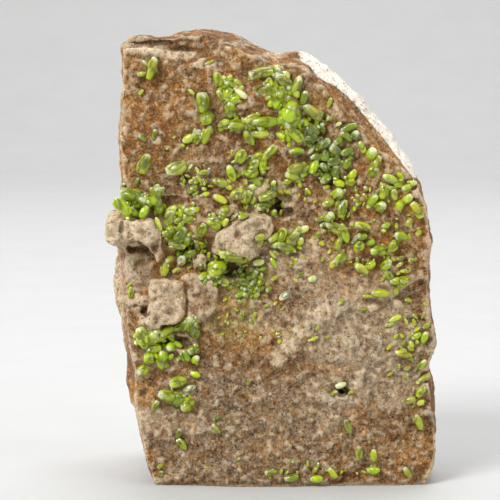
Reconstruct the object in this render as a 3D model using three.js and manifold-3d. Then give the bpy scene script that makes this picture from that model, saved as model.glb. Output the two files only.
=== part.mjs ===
// Green pyromorphite crystals on a broken slab of brown sandstone that stands upright.
// Millimetres, +Z up. The crystal face looks along -Y, and the origin is on the plane that the slab
// rests on, below the middle of its width and thickness.

import * as THREE from 'three';
import { ImprovedNoise } from 'three/addons/math/ImprovedNoise.js';
import { mergeVertices } from 'three/addons/utils/BufferGeometryUtils.js';
import Module from 'manifold-3d';

// Driving dimensions
const FRONT_Y = -12;
const BACK_Y = 12;
const BACK_LEAN = 4.5;
const SLAB_TOP = 68.5;
const RIM_DEPTH = 0.3;
const BACK_DEPTH = 0.55;
const BACK_INSET = 2.2;
const GAP = 0.3;
const FACET_CUTTER = 200;
const STEP_REACH = 8;
const WELD = 1e-4;

// Heights in the lists below are read from a line this far above the resting plane.
const DATUM = 0.45;

// Grid of the slab: columns across, rows up, layers from front to back
const COLUMNS = 16;
const ROWS = 23;
const LAYER_DEPTHS = [0, 0.12, RIM_DEPTH, 0.7, 1];

// Roughness of the broken faces
const FACE_NOISE = 0.7;
const FACE_WAVE = 5.5;
const RELIEF_REACH = 1.6;
const SIDE_NOISE = 1.3;
const SIDE_WAVE = 7;
const SIDE_FADE = 6;
const SIDE_SEED = 40;
const BLOCK_NOISE = 0.25;
const BLOCK_WAVE = 2.5;
const NOISE_SHIFT = [31.4, 17.2, 5.7];

// Crystal shape and seat, as shares of its length or width
const END_WIDTH = 0.55;
const TAPER_WIDTH = 0.85;
const SHOULDER_PLACE = 0.4;
const STOUT_WIDTH = 1.7;
const SLENDER_WIDTH = 1.5;
const CENTRE_LIFT = 0.24;
const LEAN_LIFT = 0.1;
const RISE_SHARE = 0.55;
const SEAT_SHARE = 0.4;
const LEVELLING = 0.6;
const FLAT_LEAN = 12;

// Crystals that overlap by more than this volume are one cluster, and this many clusters have a node.
const TOUCH_VOLUME = 0.004;
const CLUSTER_NODES = 59;

// Outer outline of the slab as [x, height], seen from the front
const LEFT_EDGE = [
  [-18.3, 0], [-19.1, 2], [-20, 5], [-20.9, 10], [-21.6, 14], [-22.9, 20], [-23.5, 24],
  [-23.7, 30], [-23.5, 34], [-23.4, 41], [-22.5, 46], [-22.5, 50], [-23, 52], [-22.5, 55.6],
  [-22.4, 62], [-22.5, 66],
];
const RIGHT_EDGE = [
  [24.2, 0], [25.1, 1.4], [25.5, 5], [25.5, 8.2], [25, 11.5], [24.35, 14.6], [24.4, 18.2],
  [25.7, 19.9], [25.2, 23.5], [24.1, 27.3], [24, 31], [24.6, 36], [23.7, 42], [22.5, 46.5],
  [20.1, 50], [18, 53.2], [14.15, 56.9], [11.9, 59.9], [9.15, 62.05], [6.3, 63.9],
];
const TOP_EDGE = [
  [-22.5, 66], [-20.9, 67.7], [-18.7, 67.7], [-16.5, 67.2], [-13, 68], [-9, 68], [-4.8, 67.1],
  [-3.2, 65.9], [-1.7, 65.8], [1.15, 64.45], [4.45, 64.4], [6.3, 63.9],
];

// How far the front face stays inside the outer outline, as [height, inset]
const LEFT_INSET = [[0, 0.7], [12, 0.8], [18, 1.8], [34, 1.8], [41, 0.5], [66, 0.4]];
const RIGHT_INSET = [[0, 0.6], [44, 0.5], [50, 1.2], [53, 2.6], [60, 2.7], [64, 1]];
const TOP_INSET = 0.5;

// Broad relief of the front as [x, height, half width, half height, rise towards the viewer]
const RELIEF = [
  [2, 0, 24, 12, 1.9],
  [-19.2, 31.4, 3.2, 3.4, -1.4],
  [-20.2, 35.6, 2.6, 1.8, -2.2],
  [-12.6, 35.2, 4, 2.4, -1.6],
  [-6, 32.4, 3, 2.6, -1.8],
  [0.9, 41.6, 2.4, 2, -1.7],
  [-3.5, 29.5, 5, 3.5, -0.7],
  [9, 19, 8, 7, 0.9],
  [-12.6, 9.4, 3.4, 2.4, 0.6],
  [-19.6, 13.4, 1.9, 1.7, -0.5],
  [9.5, 48, 5, 5, -0.6],
  [-15.5, 52, 7, 6, -0.5],
  [1.5, 56.5, 6, 5, 0.6],
  [16, 40, 6, 6, 0.5],
  [20, 6, 5, 6, -0.7],
];

// Blocks and ledges that stand out of the front: outline as [x, height], then how far they rise
const RAISED_BLOCKS = [
  {
    outline: [
      [-22.8, 37.6], [-21.9, 36.8], [-20.4, 37.2], [-19.2, 36.9], [-17.2, 36.6], [-16.4, 38.2],
      [-17, 39.6], [-17.9, 40.4], [-19.6, 40.1], [-21.2, 40.6], [-22.6, 40.2],
    ],
    rise: 2.4, root: 7, bevel: 0.4,
  },
  {
    outline: [
      [-24.8, 38], [-24.6, 37], [-23.8, 36.1], [-22.7, 36.2], [-22.1, 37.4], [-22.3, 39.4],
      [-22.9, 40.7], [-23.9, 40.6], [-24.6, 39.6],
    ],
    rise: 1.9, root: 7, bevel: 0.4,
  },
  {
    outline: [
      [-19.7, 37.4], [-18.6, 35.8], [-17.7, 34.9], [-17.1, 33.5], [-16.2, 32.9], [-15.7, 33.8],
      [-16.1, 35.2], [-16.2, 37.2], [-17.4, 38.4],
    ],
    rise: 1.8, root: 5, bevel: 0.35,
  },
  {
    outline: [
      [-18.1, 30.9], [-18.2, 29], [-17.8, 27.1], [-18.3, 26], [-18.7, 24.4], [-17.8, 23.6], [-16, 24.1],
      [-14.5, 24.3], [-13.1, 24.9], [-12.9, 27.9], [-13.2, 30.6], [-14.6, 30.8], [-16, 31.1],
    ],
    rise: 1.8, root: 3, bevel: 0.3,
  },
  {
    outline: [
      [-13.6, 24.7], [-11.2, 24.5], [-9.6, 25.2], [-8.1, 26.8], [-7.9, 29.2], [-9.1, 31.3],
      [-11.2, 32.1], [-13.6, 31.7],
    ],
    rise: 1, root: 3, bevel: 0.5,
  },
  {
    outline: [[-19.6, 25.2], [-19.2, 23.2], [-16.6, 22.9], [-16.3, 25.4]],
    rise: 0.9, root: 3, bevel: 0.4,
  },
  {
    outline: [[-23, 28.5], [-23, 27.2], [-18, 27], [-17.8, 28.3], [-20, 28.7]],
    rise: 0.7, root: 4, bevel: 0.35,
  },
  {
    outline: [
      [-8.8, 35.3], [-8.5, 36.5], [-7.4, 38.2], [-5.1, 40.2], [-2.9, 40.8], [-1.1, 41], [0.1, 40.4],
      [0.1, 38.2], [-2, 36.4], [-2.4, 34.9], [-3.6, 33.6], [-6.4, 34.1],
    ],
    rise: 1.8, root: 3, bevel: 0.6,
  },
  {
    outline: [
      [9.8, 28.1], [7.9, 26.9], [4.2, 23.9], [2.6, 22.3], [0.2, 19.8], [-0.2, 17.9], [1.3, 17.2],
      [3.6, 19], [6.2, 21.6], [9.6, 23.8], [11.4, 26.4],
    ],
    rise: 1, root: 3, bevel: 0.4,
  },
  {
    outline: [[-11.6, 34.4], [-11.4, 31.9], [-9.9, 32.3], [-10, 34.6]],
    rise: 0.7, root: 3, bevel: 0.35,
  },
  {
    outline: [[10.5, 13.1], [10.4, 12.2], [12.3, 12], [12.6, 13.1], [11.7, 13.4]],
    rise: 1.1, root: 3, bevel: 0.3,
  },
];

// Places broken away from the front: outline as [x, height], then how deep
const SUNK_STEPS = [
  {
    outline: [
      [-26, 65.4], [-22.4, 65.2], [-20.1, 65.7], [-19, 66], [-17.5, 65.5], [-15.5, 65.3], [-13.7, 64.7],
      [-12, 64.6], [-11.5, 63.8], [-9, 63.8], [-8.2, 65.2], [-6.5, 72], [-26, 72],
    ],
    depth: 1.9, bevel: 0.3,
  },
  {
    outline: [
      [18, 28], [19.7, 27.4], [21.2, 25.8], [22.5, 24.1], [28, 24], [28, 31.2], [22.4, 31],
      [19.6, 29.6],
    ],
    depth: 0.9, bevel: 0.4,
  },
  {
    outline: [[6.2, 61.9], [6.4, 60.4], [9.6, 59.6], [9.8, 60.6], [8, 62]],
    depth: 0.9, bevel: 0.35,
  },
  {
    outline: [[10.2, 14.4], [10.3, 13.4], [11.4, 13.3], [11.5, 14.3]],
    depth: 0.8, bevel: 0.3,
  },
  {
    outline: [[-22.2, 36.1], [-21.4, 34.8], [-18.6, 34.6], [-18.2, 36.3]],
    depth: 2.2, bevel: 0.5,
  },
];

// Facets broken off the unseen back and sides: a point of each and its outward normal
const BACK_FACETS = [
  { point: [14, 8, 56], normal: [0.45, 0.75, 0.5] },
  { point: [-20, 8, 45], normal: [-0.7, 0.7, 0.12] },
  { point: [5, 11, 10], normal: [0.1, 0.95, -0.2] },
  { point: [-9, 6.5, 61.5], normal: [-0.1, 0.6, 0.8] },
  { point: [22.5, 6, 28], normal: [0.8, 0.6, -0.08] },
  { point: [2, 11.3, 38], normal: [0.22, 0.97, 0.1] },
];

// Crystals as [x, height, length, width, turn of the long axis from +X, lean out of the face], and
// an extra lift where one sits on its neighbours rather than on the rock
const CRYSTALS = {
  top_left: [
    [-17.6, 62.65, 3.1, 1.5, 75, 6],
  ],
  left_pair: [
    [-10.1, 57.45, 3.2, 1.9, 88, 8], [-9.6, 55.3, 2.2, 2.0, 60, 55],
  ],
  left_trio: [
    [-9.65, 52.6, 2.6, 1.2, 70, 5],
  ],
  crown_left: [
    [-7.7, 61.0, 2.1, 1.5, 110, 10], [-6.1, 56.5, 2.4, 1.6, 80, 8],
  ],
  crown: [
    [-1.7, 61.9, 3.4, 1.6, 12, 5], [1.8, 60.6, 2.9, 1.7, -42, 15], [0.3, 59.4, 2.5, 1.8, 110, 15],
    [1.4, 58.9, 2.3, 1.8, 60, 30], [0.9, 57.7, 2.3, 1.6, 75, 15], [3.85, 60.15, 2.7, 1.4, 72, 8],
  ],
  heart: [
    [2.8, 56.0, 3.1, 2.8, 70, 62], [3.2, 54.6, 2.3, 1.9, 20, 30], [3.5, 53.0, 3.1, 1.8, -48, 10],
    [6.1, 56.1, 3.2, 1.6, -40, 8], [5.8, 53.5, 2.7, 1.6, -60, 12], [5.7, 52.2, 2.1, 1.6, 10, 25],
  ],
  bar: [
    [-0.65, 54.7, 3.6, 1.8, 0, 5], [-3.0, 55.1, 2.3, 1.3, 15, 15], [-5.2, 54.3, 2.9, 1.7, -5, 5],
    [-6.85, 54.4, 1.9, 1.5, 20, 20], [-1.7, 52.85, 2.9, 1.2, 3, 8], [-3.2, 52.3, 2.4, 1.4, -60, 12],
  ],
  upper_right: [
    [11.45, 53.7, 2.6, 1.2, 20, 8], [12.55, 52.6, 1.7, 1.6, 70, 55],
  ],
  right_edge: [
    [15.0, 49.8, 2.1, 1.8, 80, 45], [15.65, 48.4, 2.1, 1.5, 70, 12], [15.2, 47.2, 2.0, 1.6, 40, 15],
    [17.85, 46.1, 2.7, 1.3, -25, 8],
  ],
  left_mid: [
    [-18.9, 48.35, 3.1, 1.9, 70, 6], [-14.2, 47.7, 3.3, 1.9, 30, 12],
  ],
  ledge_left: [
    [-21.0, 43.75, 3.1, 2.0, -20, 8], [-17.25, 43.7, 3.0, 1.7, 70, 8], [-16.8, 41.9, 2.4, 1.5, 100, 10],
    [-21.8, 41.9, 3.2, 1.9, -55, 12, 0.9],
  ],
  ledge_row: [
    [-15.2, 40.4, 2.4, 1.5, 60, 12],
  ],
  hollow: [
    [-15.3, 38.1, 1.9, 1.5, 30, 12], [-13.7, 37.9, 2.6, 1.8, 45, 12], [-12.7, 36.9, 2.1, 1.3, 80, 12],
    [-14.3, 36.3, 2.7, 1.5, -10, 15],
  ],
  centre_left: [
    [-10.35, 38.5, 2.1, 1.5, 65, 15], [-8.5, 39.3, 2.2, 1.5, -30, 12], [-7.0, 41.35, 1.8, 1.5, 40, 15],
  ],
  centre: [
    [-4.6, 49.5, 2.3, 1.7, 60, 10], [-2.7, 48.3, 2.4, 1.7, 50, 10], [-2.9, 47.2, 2.1, 1.7, 20, 20],
    [-1.2, 48.4, 2.3, 1.3, 80, 12], [-0.3, 50.1, 2.8, 1.3, 50, 12], [-5.95, 47.0, 2.6, 1.4, -70, 8],
    [-2.3, 45.9, 2.4, 1.3, -50, 10], [-5.0, 43.9, 2.3, 1.7, 30, 10], [-1.2, 41.8, 2.6, 1.3, 10, 12],
    [-0.45, 43.7, 2.6, 1.7, 30, 12],
  ],
  centre_right: [
    [6.35, 47.9, 2.3, 1.4, 60, 12], [4.0, 47.7, 3.0, 1.9, 25, 8], [3.2, 46.5, 2.4, 1.4, -20, 12],
  ],
  dark_zone: [
    [8.0, 51.3, 2.1, 1.5, 40, 12], [9.6, 50.5, 2.2, 1.6, -50, 12], [8.1, 49.7, 1.9, 1.5, 70, 20],
    [9.5, 48.8, 2.1, 1.6, 10, 12], [8.0, 47.9, 2.0, 1.5, -30, 20], [9.8, 47.1, 2.1, 1.5, 80, 12],
    [8.1, 45.9, 2.0, 1.4, 30, 12],
  ],
  right_mid: [
    [10.0, 43.9, 2.1, 1.9, 60, 55], [8.8, 40.4, 1.8, 1.6, 70, 50], [10.65, 41.5, 2.6, 1.5, 80, 8],
    [9.5, 38.9, 2.8, 1.6, -20, 8], [11.0, 38.0, 3.0, 1.4, -70, 8], [13.75, 39.1, 2.5, 1.3, -15, 8],
    [13.1, 36.0, 1.9, 1.6, 60, 45],
  ],
  far_right: [
    [15.2, 43.0, 2.1, 1.4, 50, 10], [16.8, 44.2, 2.2, 1.6, 70, 12], [16.3, 42.0, 2.1, 1.8, 40, 45],
    [21.8, 41.5, 2.8, 1.6, -60, 6], [19.45, 37.6, 2.1, 1.6, -15, 8], [18.2, 36.2, 1.8, 1.5, 60, 45],
    [15.95, 35.4, 2.2, 1.4, 10, 8],
  ],
  right_low: [
    [17.3, 33.2, 2.1, 1.5, 45, 10], [17.7, 31.6, 2.4, 1.2, -50, 8], [19.4, 30.75, 2.6, 1.6, 10, 8],
    [16.45, 28.85, 2.7, 1.4, -2, 6], [19.95, 19.7, 2.6, 1.2, -15, 6],
  ],
  middle: [
    [0.65, 37.4, 2.4, 1.2, 30, 10], [1.7, 37.7, 2.1, 1.6, 70, 15], [3.2, 37.2, 2.4, 1.6, 40, 10],
  ],
  centre_low: [
    [-6.15, 34.9, 3.6, 1.5, -15, 8], [-8.1, 33.5, 2.8, 2.2, 20, 20, 0.5], [-9.4, 33.2, 2.0, 1.6, 70, 20, 0.3],
    [-7.45, 30.6, 2.5, 1.5, -30, 8], [-9.2, 31.3, 2.1, 1.5, 60, 15],
  ],
  foot_left: [
    [-19.3, 22.5, 2.8, 2.0, -70, 10], [-18.1, 22.2, 2.4, 2.0, 60, 15], [-17.0, 22.3, 2.4, 1.6, 10, 15],
    [-15.2, 23.2, 2.4, 1.4, 30, 12], [-12.8, 24.6, 2.7, 1.5, 55, 10], [-11.5, 23.5, 2.4, 1.6, 90, 10],
  ],
  low_left: [
    [-17.6, 20.4, 2.3, 1.6, 10, 15], [-18.3, 19.2, 2.0, 1.8, 70, 40], [-16.5, 18.7, 2.6, 1.8, 100, 12],
    [-19.35, 17.2, 1.8, 1.6, 30, 40], [-14.05, 15.5, 2.7, 1.8, 10, 10], [-15.55, 13.2, 3.0, 2.0, -20, 10],
    [-14.2, 12.7, 3.2, 1.8, -20, 8], [-12.65, 12.1, 2.3, 2.0, 30, 25],
  ],
  low_right: [
    [22.4, 9.2, 2.4, 1.3, -70, 6],
  ],
};

const STONE_COLOUR = 0x9a8064;
const STONE_ROUGHNESS = 0.85;
const CRYSTAL_COLOURS = [0x8dbb33, 0x7aa93a, 0x9ac43f, 0x6f9a45];
const CRYSTAL_ROUGHNESS = 0.2;

const wasm = await Module();
wasm.setup();
const perlin = new ImprovedNoise();

const noise = (x, y, z, wave) => perlin.noise(
  x / wave + NOISE_SHIFT[0], y / wave + NOISE_SHIFT[1], z / wave + NOISE_SHIFT[2],
);
const smooth = (t) => THREE.MathUtils.smoothstep(t, 0, 1);

// A closed geometry as a solid that can be joined and cut
function solidOf(geometry) {
  const bare = geometry.clone();
  bare.deleteAttribute('normal');
  bare.deleteAttribute('uv');
  const welded = mergeVertices(bare, WELD);
  const corners = [];
  for (let i = 0; i < welded.index.count; i += 3) {
    const [a, b, c] = [0, 1, 2].map((k) => welded.index.getX(i + k));
    if (a !== b && b !== c && c !== a) corners.push(a, b, c);
  }
  return new wasm.Manifold(new wasm.Mesh({
    numProp: 3,
    vertProperties: new Float32Array(welded.attributes.position.array),
    triVerts: new Uint32Array(corners),
  }));
}

function geometryOf(solid) {
  const mesh = solid.getMesh();
  const geometry = new THREE.BufferGeometry();
  geometry.setAttribute('position', new THREE.BufferAttribute(new Float32Array(mesh.vertProperties), 3));
  geometry.setIndex(new THREE.BufferAttribute(new Uint32Array(mesh.triVerts), 1));
  geometry.computeVertexNormals();
  return geometry;
}

// Moves each vertex of a geometry by a function of its place
function warp(geometry, move) {
  const place = geometry.attributes.position;
  const point = new THREE.Vector3();
  for (let i = 0; i < place.count; i += 1) {
    point.fromBufferAttribute(place, i);
    move(point);
    place.setXYZ(i, point.x, point.y, point.z);
  }
  return geometry;
}

const edgePath = (list) => new THREE.Path(list.map(([x, height]) => (
  new THREE.Vector2(x, height === 0 ? 0 : height + DATUM)
)));
const leftEdge = edgePath(LEFT_EDGE);
const rightEdge = edgePath(RIGHT_EDGE);
const topEdge = edgePath(TOP_EDGE);

// Straight-line reading of a list of [place, value]
function valueAt(list, place) {
  const last = list.length - 1;
  const next = list.findIndex(([at]) => at > place);
  if (next < 0) return list[last][1];
  if (next === 0) return list[0][1];
  const [at0, value0] = list[next - 1];
  const [at1, value1] = list[next];
  return THREE.MathUtils.mapLinear(place, at0, at1, value0, value1);
}

// Place in the outline for shares u across and v up, blended from the edges. The lower edge is straight.
function outlinePoint(u, v, inset) {
  const left = leftEdge.getPoint(v);
  const right = rightEdge.getPoint(v);
  const top = topEdge.getPoint(u);
  left.x += inset * valueAt(LEFT_INSET, left.y);
  right.x -= inset * valueAt(RIGHT_INSET, right.y);
  right.y -= inset * v * valueAt(RIGHT_INSET, right.y);
  top.y -= inset * TOP_INSET;
  const chord = leftEdge.getPoint(1).lerp(rightEdge.getPoint(1), u);
  return left.lerp(right, u).addScaledVector(top.sub(chord), v);
}

// Depth of the front and back faces at a place in the outline
function frontY(x, z) {
  const relief = RELIEF.reduce((sum, [cx, height, halfX, halfZ, rise]) => {
    const reach = Math.hypot((x - cx) / halfX, (z - height - DATUM) / halfZ);
    return sum + rise * smooth(1 - reach / RELIEF_REACH);
  }, 0);
  return FRONT_Y - relief - FACE_NOISE * noise(x, 0, z, FACE_WAVE);
}

function backY(x, z) {
  return BACK_Y - BACK_LEAN * (z / SLAB_TOP) ** 2 + 2 * FACE_NOISE * noise(x, SIDE_SEED, z, 2 * FACE_WAVE);
}

// The slab before blocks and steps: a box grid warped to the outline and the relief
function slabGeometry(grow) {
  const layers = LAYER_DEPTHS.length - 1;
  const geometry = new THREE.BoxGeometry(1, 1, 1, COLUMNS, layers, ROWS);
  return warp(geometry, (point) => {
    const u = Math.round((point.x + 0.5) * COLUMNS) / COLUMNS;
    const v = Math.round((point.z + 0.5) * ROWS) / ROWS;
    const w = LAYER_DEPTHS[Math.round((point.y + 0.5) * layers)];
    const frontInset = smooth(1 - w / RIM_DEPTH);
    const backInset = BACK_INSET * smooth((w - BACK_DEPTH) / (1 - BACK_DEPTH));
    const flat = outlinePoint(u, v, frontInset);
    const rough = SIDE_NOISE * (1 - frontInset) * smooth(v * SIDE_FADE);
    const side = 2 * u - 1;
    flat.x += rough * side * noise(SIDE_SEED, w * (BACK_Y - FRONT_Y), flat.y, SIDE_WAVE) - side * backInset;
    flat.y += v * (rough * noise(flat.x, w * (BACK_Y - FRONT_Y), 2 * SIDE_SEED, SIDE_WAVE) - backInset);
    const y = THREE.MathUtils.lerp(frontY(flat.x, flat.y), backY(flat.x, flat.y), w);
    point.set(flat.x + grow * side, w === 0 ? y - grow : y, flat.y + grow * (2 * v - 1));
  });
}

// A block with bevelled edges from an outline in the face, between two depths
function blockGeometry(outline, front, back, bevel, grow) {
  const shape = new THREE.Shape(outline.map(([x, height]) => new THREE.Vector2(x, height + DATUM)));
  const geometry = new THREE.ExtrudeGeometry(shape, {
    depth: back - front - 2 * bevel,
    bevelEnabled: true,
    bevelThickness: bevel,
    bevelSize: bevel,
    bevelOffset: grow - bevel,
    bevelSegments: 1,
    steps: 1,
  });
  geometry.rotateX(Math.PI / 2);
  geometry.translate(0, back - bevel, 0);
  return warp(geometry, (point) => {
    const shift = BLOCK_NOISE * noise(point.x, point.y, point.z, BLOCK_WAVE);
    point.x += shift;
    point.y += shift;
  });
}

// The whole rock. A positive grow gives the same rock with its skin moved out by that much.
function rockSolid(grow) {
  let rock = solidOf(slabGeometry(grow));
  for (const { outline, rise, root, bevel } of RAISED_BLOCKS) {
    const block = blockGeometry(outline, FRONT_Y - rise - grow, FRONT_Y + root, bevel, grow);
    rock = rock.add(solidOf(block));
  }
  for (const { outline, depth, bevel } of SUNK_STEPS) {
    const step = blockGeometry(outline, FRONT_Y - STEP_REACH, FRONT_Y + depth - grow, bevel, 0);
    rock = rock.subtract(solidOf(step));
  }
  for (const { point, normal } of BACK_FACETS) {
    const cutter = new THREE.BoxGeometry(FACET_CUTTER, FACET_CUTTER, FACET_CUTTER);
    cutter.translate(0, 0, FACET_CUTTER / 2);
    const outward = new THREE.Vector3(...normal).normalize();
    cutter.applyQuaternion(new THREE.Quaternion().setFromUnitVectors(new THREE.Vector3(0, 0, 1), outward));
    cutter.translate(...point);
    rock = rock.subtract(solidOf(cutter));
  }
  return rock;
}

// A six-sided barrel along +X with flat ends. Slender ones are plain in the middle or along their length.
function barrelGeometry(length, width) {
  const half = length / 2;
  const radius = width / 2;
  const rings = width >= STOUT_WIDTH
    ? [[END_WIDTH, -1], [1, -SHOULDER_PLACE], [1, SHOULDER_PLACE], [END_WIDTH, 1]]
    : width >= SLENDER_WIDTH
      ? [[END_WIDTH, -1], [1, 0], [END_WIDTH, 1]]
      : [[END_WIDTH, -1], [TAPER_WIDTH, 1]];
  const profile = [[0, -1], ...rings, [0, 1]];
  const points = profile.map(([share, place]) => new THREE.Vector2(share * radius, place * half));
  const geometry = new THREE.LatheGeometry(points, 6);
  geometry.rotateZ(-Math.PI / 2);
  return geometry;
}

const rock = rockSolid(0);
const grownRock = rockSolid(GAP);
const rockMesh = new THREE.Mesh(geometryOf(rock), new THREE.MeshBasicMaterial({ side: THREE.DoubleSide }));
const sight = new THREE.Raycaster();

// Where a line along +Y through a place in the front view meets the rock
function surfaceAt(x, z) {
  sight.set(new THREE.Vector3(x, 4 * FRONT_Y, z), new THREE.Vector3(0, 1, 0));
  const hits = sight.intersectObject(rockMesh);
  return new THREE.Vector3(x, hits.length > 0 ? hits[0].point.y : FRONT_Y, z);
}

// The seat of a crystal: its middle on the rock, its long axis and outward normal, and how far
// the rock under it rises above that middle.
function seatOf(x, z, length, width, turn) {
  const along = new THREE.Vector3(Math.cos(turn), 0, Math.sin(turn));
  const across = new THREE.Vector3(-Math.sin(turn), 0, Math.cos(turn));
  const sample = (a, c) => surfaceAt(
    x + SEAT_SHARE * (a * length * along.x + c * width * across.x),
    z + SEAT_SHARE * (a * length * along.z + c * width * across.z),
  );
  const middle = sample(0, 0);
  const axis = sample(1, 0).sub(sample(-1, 0));
  const cross = sample(0, 1).sub(sample(0, -1));
  const normal = axis.clone().cross(cross);
  if (normal.y > 0) normal.negate();
  normal.normalize().add(new THREE.Vector3(0, -LEVELLING, 0)).normalize();
  axis.addScaledVector(normal, -axis.dot(normal)).normalize();
  const corners = [-1, 0, 1].flatMap((a) => [-1, 0, 1].map((c) => sample(a, c)));
  const rise = Math.max(...corners.map((corner) => corner.sub(middle).dot(normal)));
  return { middle, axis, normal, rise };
}

// One crystal on the face, whole and with its underside cut flat and clear of the rock. Its roll
// follows its place, so no two neighbours look alike.
function crystalSolids([x, height, length, width, turn, lean, lift = 0]) {
  const leanAngle = THREE.MathUtils.degToRad(lean) * (Math.sin(7 * x + 3 * height) > 0 ? 1 : -1);
  const seat = seatOf(x, height + DATUM, length, width, THREE.MathUtils.degToRad(turn));
  const basis = new THREE.Matrix4().makeBasis(
    seat.axis, seat.normal, new THREE.Vector3().crossVectors(seat.axis, seat.normal),
  ).setPosition(seat.middle);

  const barrel = barrelGeometry(length, width);
  barrel.rotateX(11 * x + 5 * height);
  barrel.rotateZ(leanAngle);
  const leanLift = LEAN_LIFT * length * Math.abs(Math.sin(leanAngle));
  barrel.translate(0, RISE_SHARE * seat.rise + CENTRE_LIFT * width + leanLift + lift, 0);

  // A crystal that lies flat has its lower corners raised to the underside, and a steep one is cut there.
  const underside = seat.rise + GAP;
  const whole = solidOf(barrel.clone().applyMatrix4(basis));
  if (lean <= FLAT_LEAN) {
    const flattened = warp(barrel, (point) => {
      point.y = Math.max(point.y, underside);
    });
    return { whole, clear: solidOf(flattened.applyMatrix4(basis)).subtract(grownRock) };
  }
  const size = 3 * length;
  const cutter = new THREE.BoxGeometry(size, size, size);
  cutter.translate(0, underside - size / 2, 0);
  return { whole, clear: whole.subtract(solidOf(cutter.applyMatrix4(basis))).subtract(grownRock) };
}

// Crystals cut clear of the rock, gathered into clusters that touch
function crystalClusters() {
  const singles = Object.entries(CRYSTALS).flatMap(([region, rows]) => rows.map((row) => (
    { region, row, ...crystalSolids(row) }
  )));
  const clusters = [];
  for (const single of singles) {
    const touched = clusters.filter((cluster) => cluster.some((other) => (
      other.clear.intersect(single.clear).volume() > TOUCH_VOLUME
    )));
    for (const cluster of touched) clusters.splice(clusters.indexOf(cluster), 1);
    clusters.push([...touched.flat(), single]);
  }
  const volumeOf = (cluster) => cluster.reduce((sum, single) => sum + single.clear.volume(), 0);
  return clusters.sort((a, b) => volumeOf(b) - volumeOf(a));
}

const specimen = new THREE.Group();

function addMesh(name, solid, colour, roughness) {
  const material = new THREE.MeshStandardMaterial({ color: colour, roughness, metalness: 0 });
  const mesh = new THREE.Mesh(geometryOf(solid), material);
  mesh.name = name;
  specimen.add(mesh);
}

// The largest clusters have a node each. The smallest are fused to the rock that they grow from.
const clusters = crystalClusters();
const fused = clusters.slice(CLUSTER_NODES).flat();
const matrix = fused.reduce((sum, crystal) => sum.add(crystal.whole), rock);
addMesh('matrix', matrix, STONE_COLOUR, STONE_ROUGHNESS);

const used = {};
clusters.slice(0, CLUSTER_NODES).forEach((cluster, index) => {
  const { region } = cluster[0];
  used[region] = (used[region] ?? 0) + 1;
  const solid = cluster.slice(1).reduce((sum, crystal) => sum.add(crystal.clear), cluster[0].clear);
  const colour = CRYSTAL_COLOURS[index % CRYSTAL_COLOURS.length];
  addMesh(`crystals_${region}_${used[region]}`, solid, colour, CRYSTAL_ROUGHNESS);
});

export default specimen;
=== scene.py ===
"""Green pyromorphite crystals on an upright slab of brown sandstone.

Sizes in the lists are millimetres in the frame of the model: +X to the right and +Z up, seen from
the front, which looks along -Y. Meshes are worked on in millimetres and end in metres.
"""

import math
import random

import bpy
import numpy as np
from mathutils import Matrix, Vector, noise
from mathutils.bvhtree import BVHTree


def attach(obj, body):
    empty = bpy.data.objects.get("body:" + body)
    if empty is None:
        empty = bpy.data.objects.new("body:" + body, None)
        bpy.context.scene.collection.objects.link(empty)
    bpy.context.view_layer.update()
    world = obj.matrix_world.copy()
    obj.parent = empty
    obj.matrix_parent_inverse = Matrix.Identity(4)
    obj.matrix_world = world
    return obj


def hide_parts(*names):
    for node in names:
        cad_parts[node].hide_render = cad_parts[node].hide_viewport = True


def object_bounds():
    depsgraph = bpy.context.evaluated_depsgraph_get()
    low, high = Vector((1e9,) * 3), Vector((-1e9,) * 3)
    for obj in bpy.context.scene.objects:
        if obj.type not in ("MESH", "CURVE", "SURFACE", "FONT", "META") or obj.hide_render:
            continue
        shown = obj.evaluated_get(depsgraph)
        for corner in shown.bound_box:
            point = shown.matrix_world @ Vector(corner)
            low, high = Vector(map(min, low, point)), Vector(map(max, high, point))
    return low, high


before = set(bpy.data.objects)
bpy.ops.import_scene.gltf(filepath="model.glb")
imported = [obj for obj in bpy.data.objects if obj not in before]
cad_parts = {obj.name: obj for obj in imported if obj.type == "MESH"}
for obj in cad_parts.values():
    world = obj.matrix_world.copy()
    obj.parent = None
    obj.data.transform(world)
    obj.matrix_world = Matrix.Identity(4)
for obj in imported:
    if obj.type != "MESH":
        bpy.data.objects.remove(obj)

cad_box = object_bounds()

MM = 0.001

# Heights in the lists are read from a line this far above the resting plane.
DATUM = 0.45

# Camera: distance from the middle of the front face, height angle and lens
CAMERA_TARGET = Vector((-3.15, -12.0, 35.85))
CAMERA_DISTANCE = 320.0
CAMERA_ELEVATION = math.radians(7)
CAMERA_LENS = 153.6

# Rock mesh and its roughness, as [size of the waves, height]
ROCK_VOXEL = 0.31
ROCK_SMOOTHING = 2
FRONT_WAVES = [(4.6, 0.4), (1.9, 0.3), (0.8, 0.17)]
SIDE_WAVES = [(6.0, 0.2), (2.4, 0.26), (1.2, 0.12)]
GRAIN_SIZE = 0.75
GRAIN_HEIGHT = 0.16
BLOCK_ROUGHNESS = 0.6
FOOT_HEIGHT = 1.2
ROCK_TRIANGLES = 190000

# Foot, and the part of a slope that counts as front, as [begins, reaches its whole share after]
FLAT_FOOT = 0.06
FACING = (0.35, 0.4)

# How many rounds of averaging make the general form, and the form under a faded step
BROAD_ROUNDS = 14
FADED_ROUNDS = 80

# Height above the general form, and depth below it, that count as a whole edge or hollow
EDGE_RELIEF = 0.28
HOLLOW_RELIEF = 0.3

# Ring round a fused crystal from which the rock under it is worked out
RING_MARGIN = 0.45
RING_POINTS = 12
RING_LEAST = 6
RING_INSET = 0.1
LEVELLED_DEPTH = 3

# Green tint of the rock round each crystal
HALO_REACH = 0.35
HALO_STRENGTH = 0.22

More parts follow.
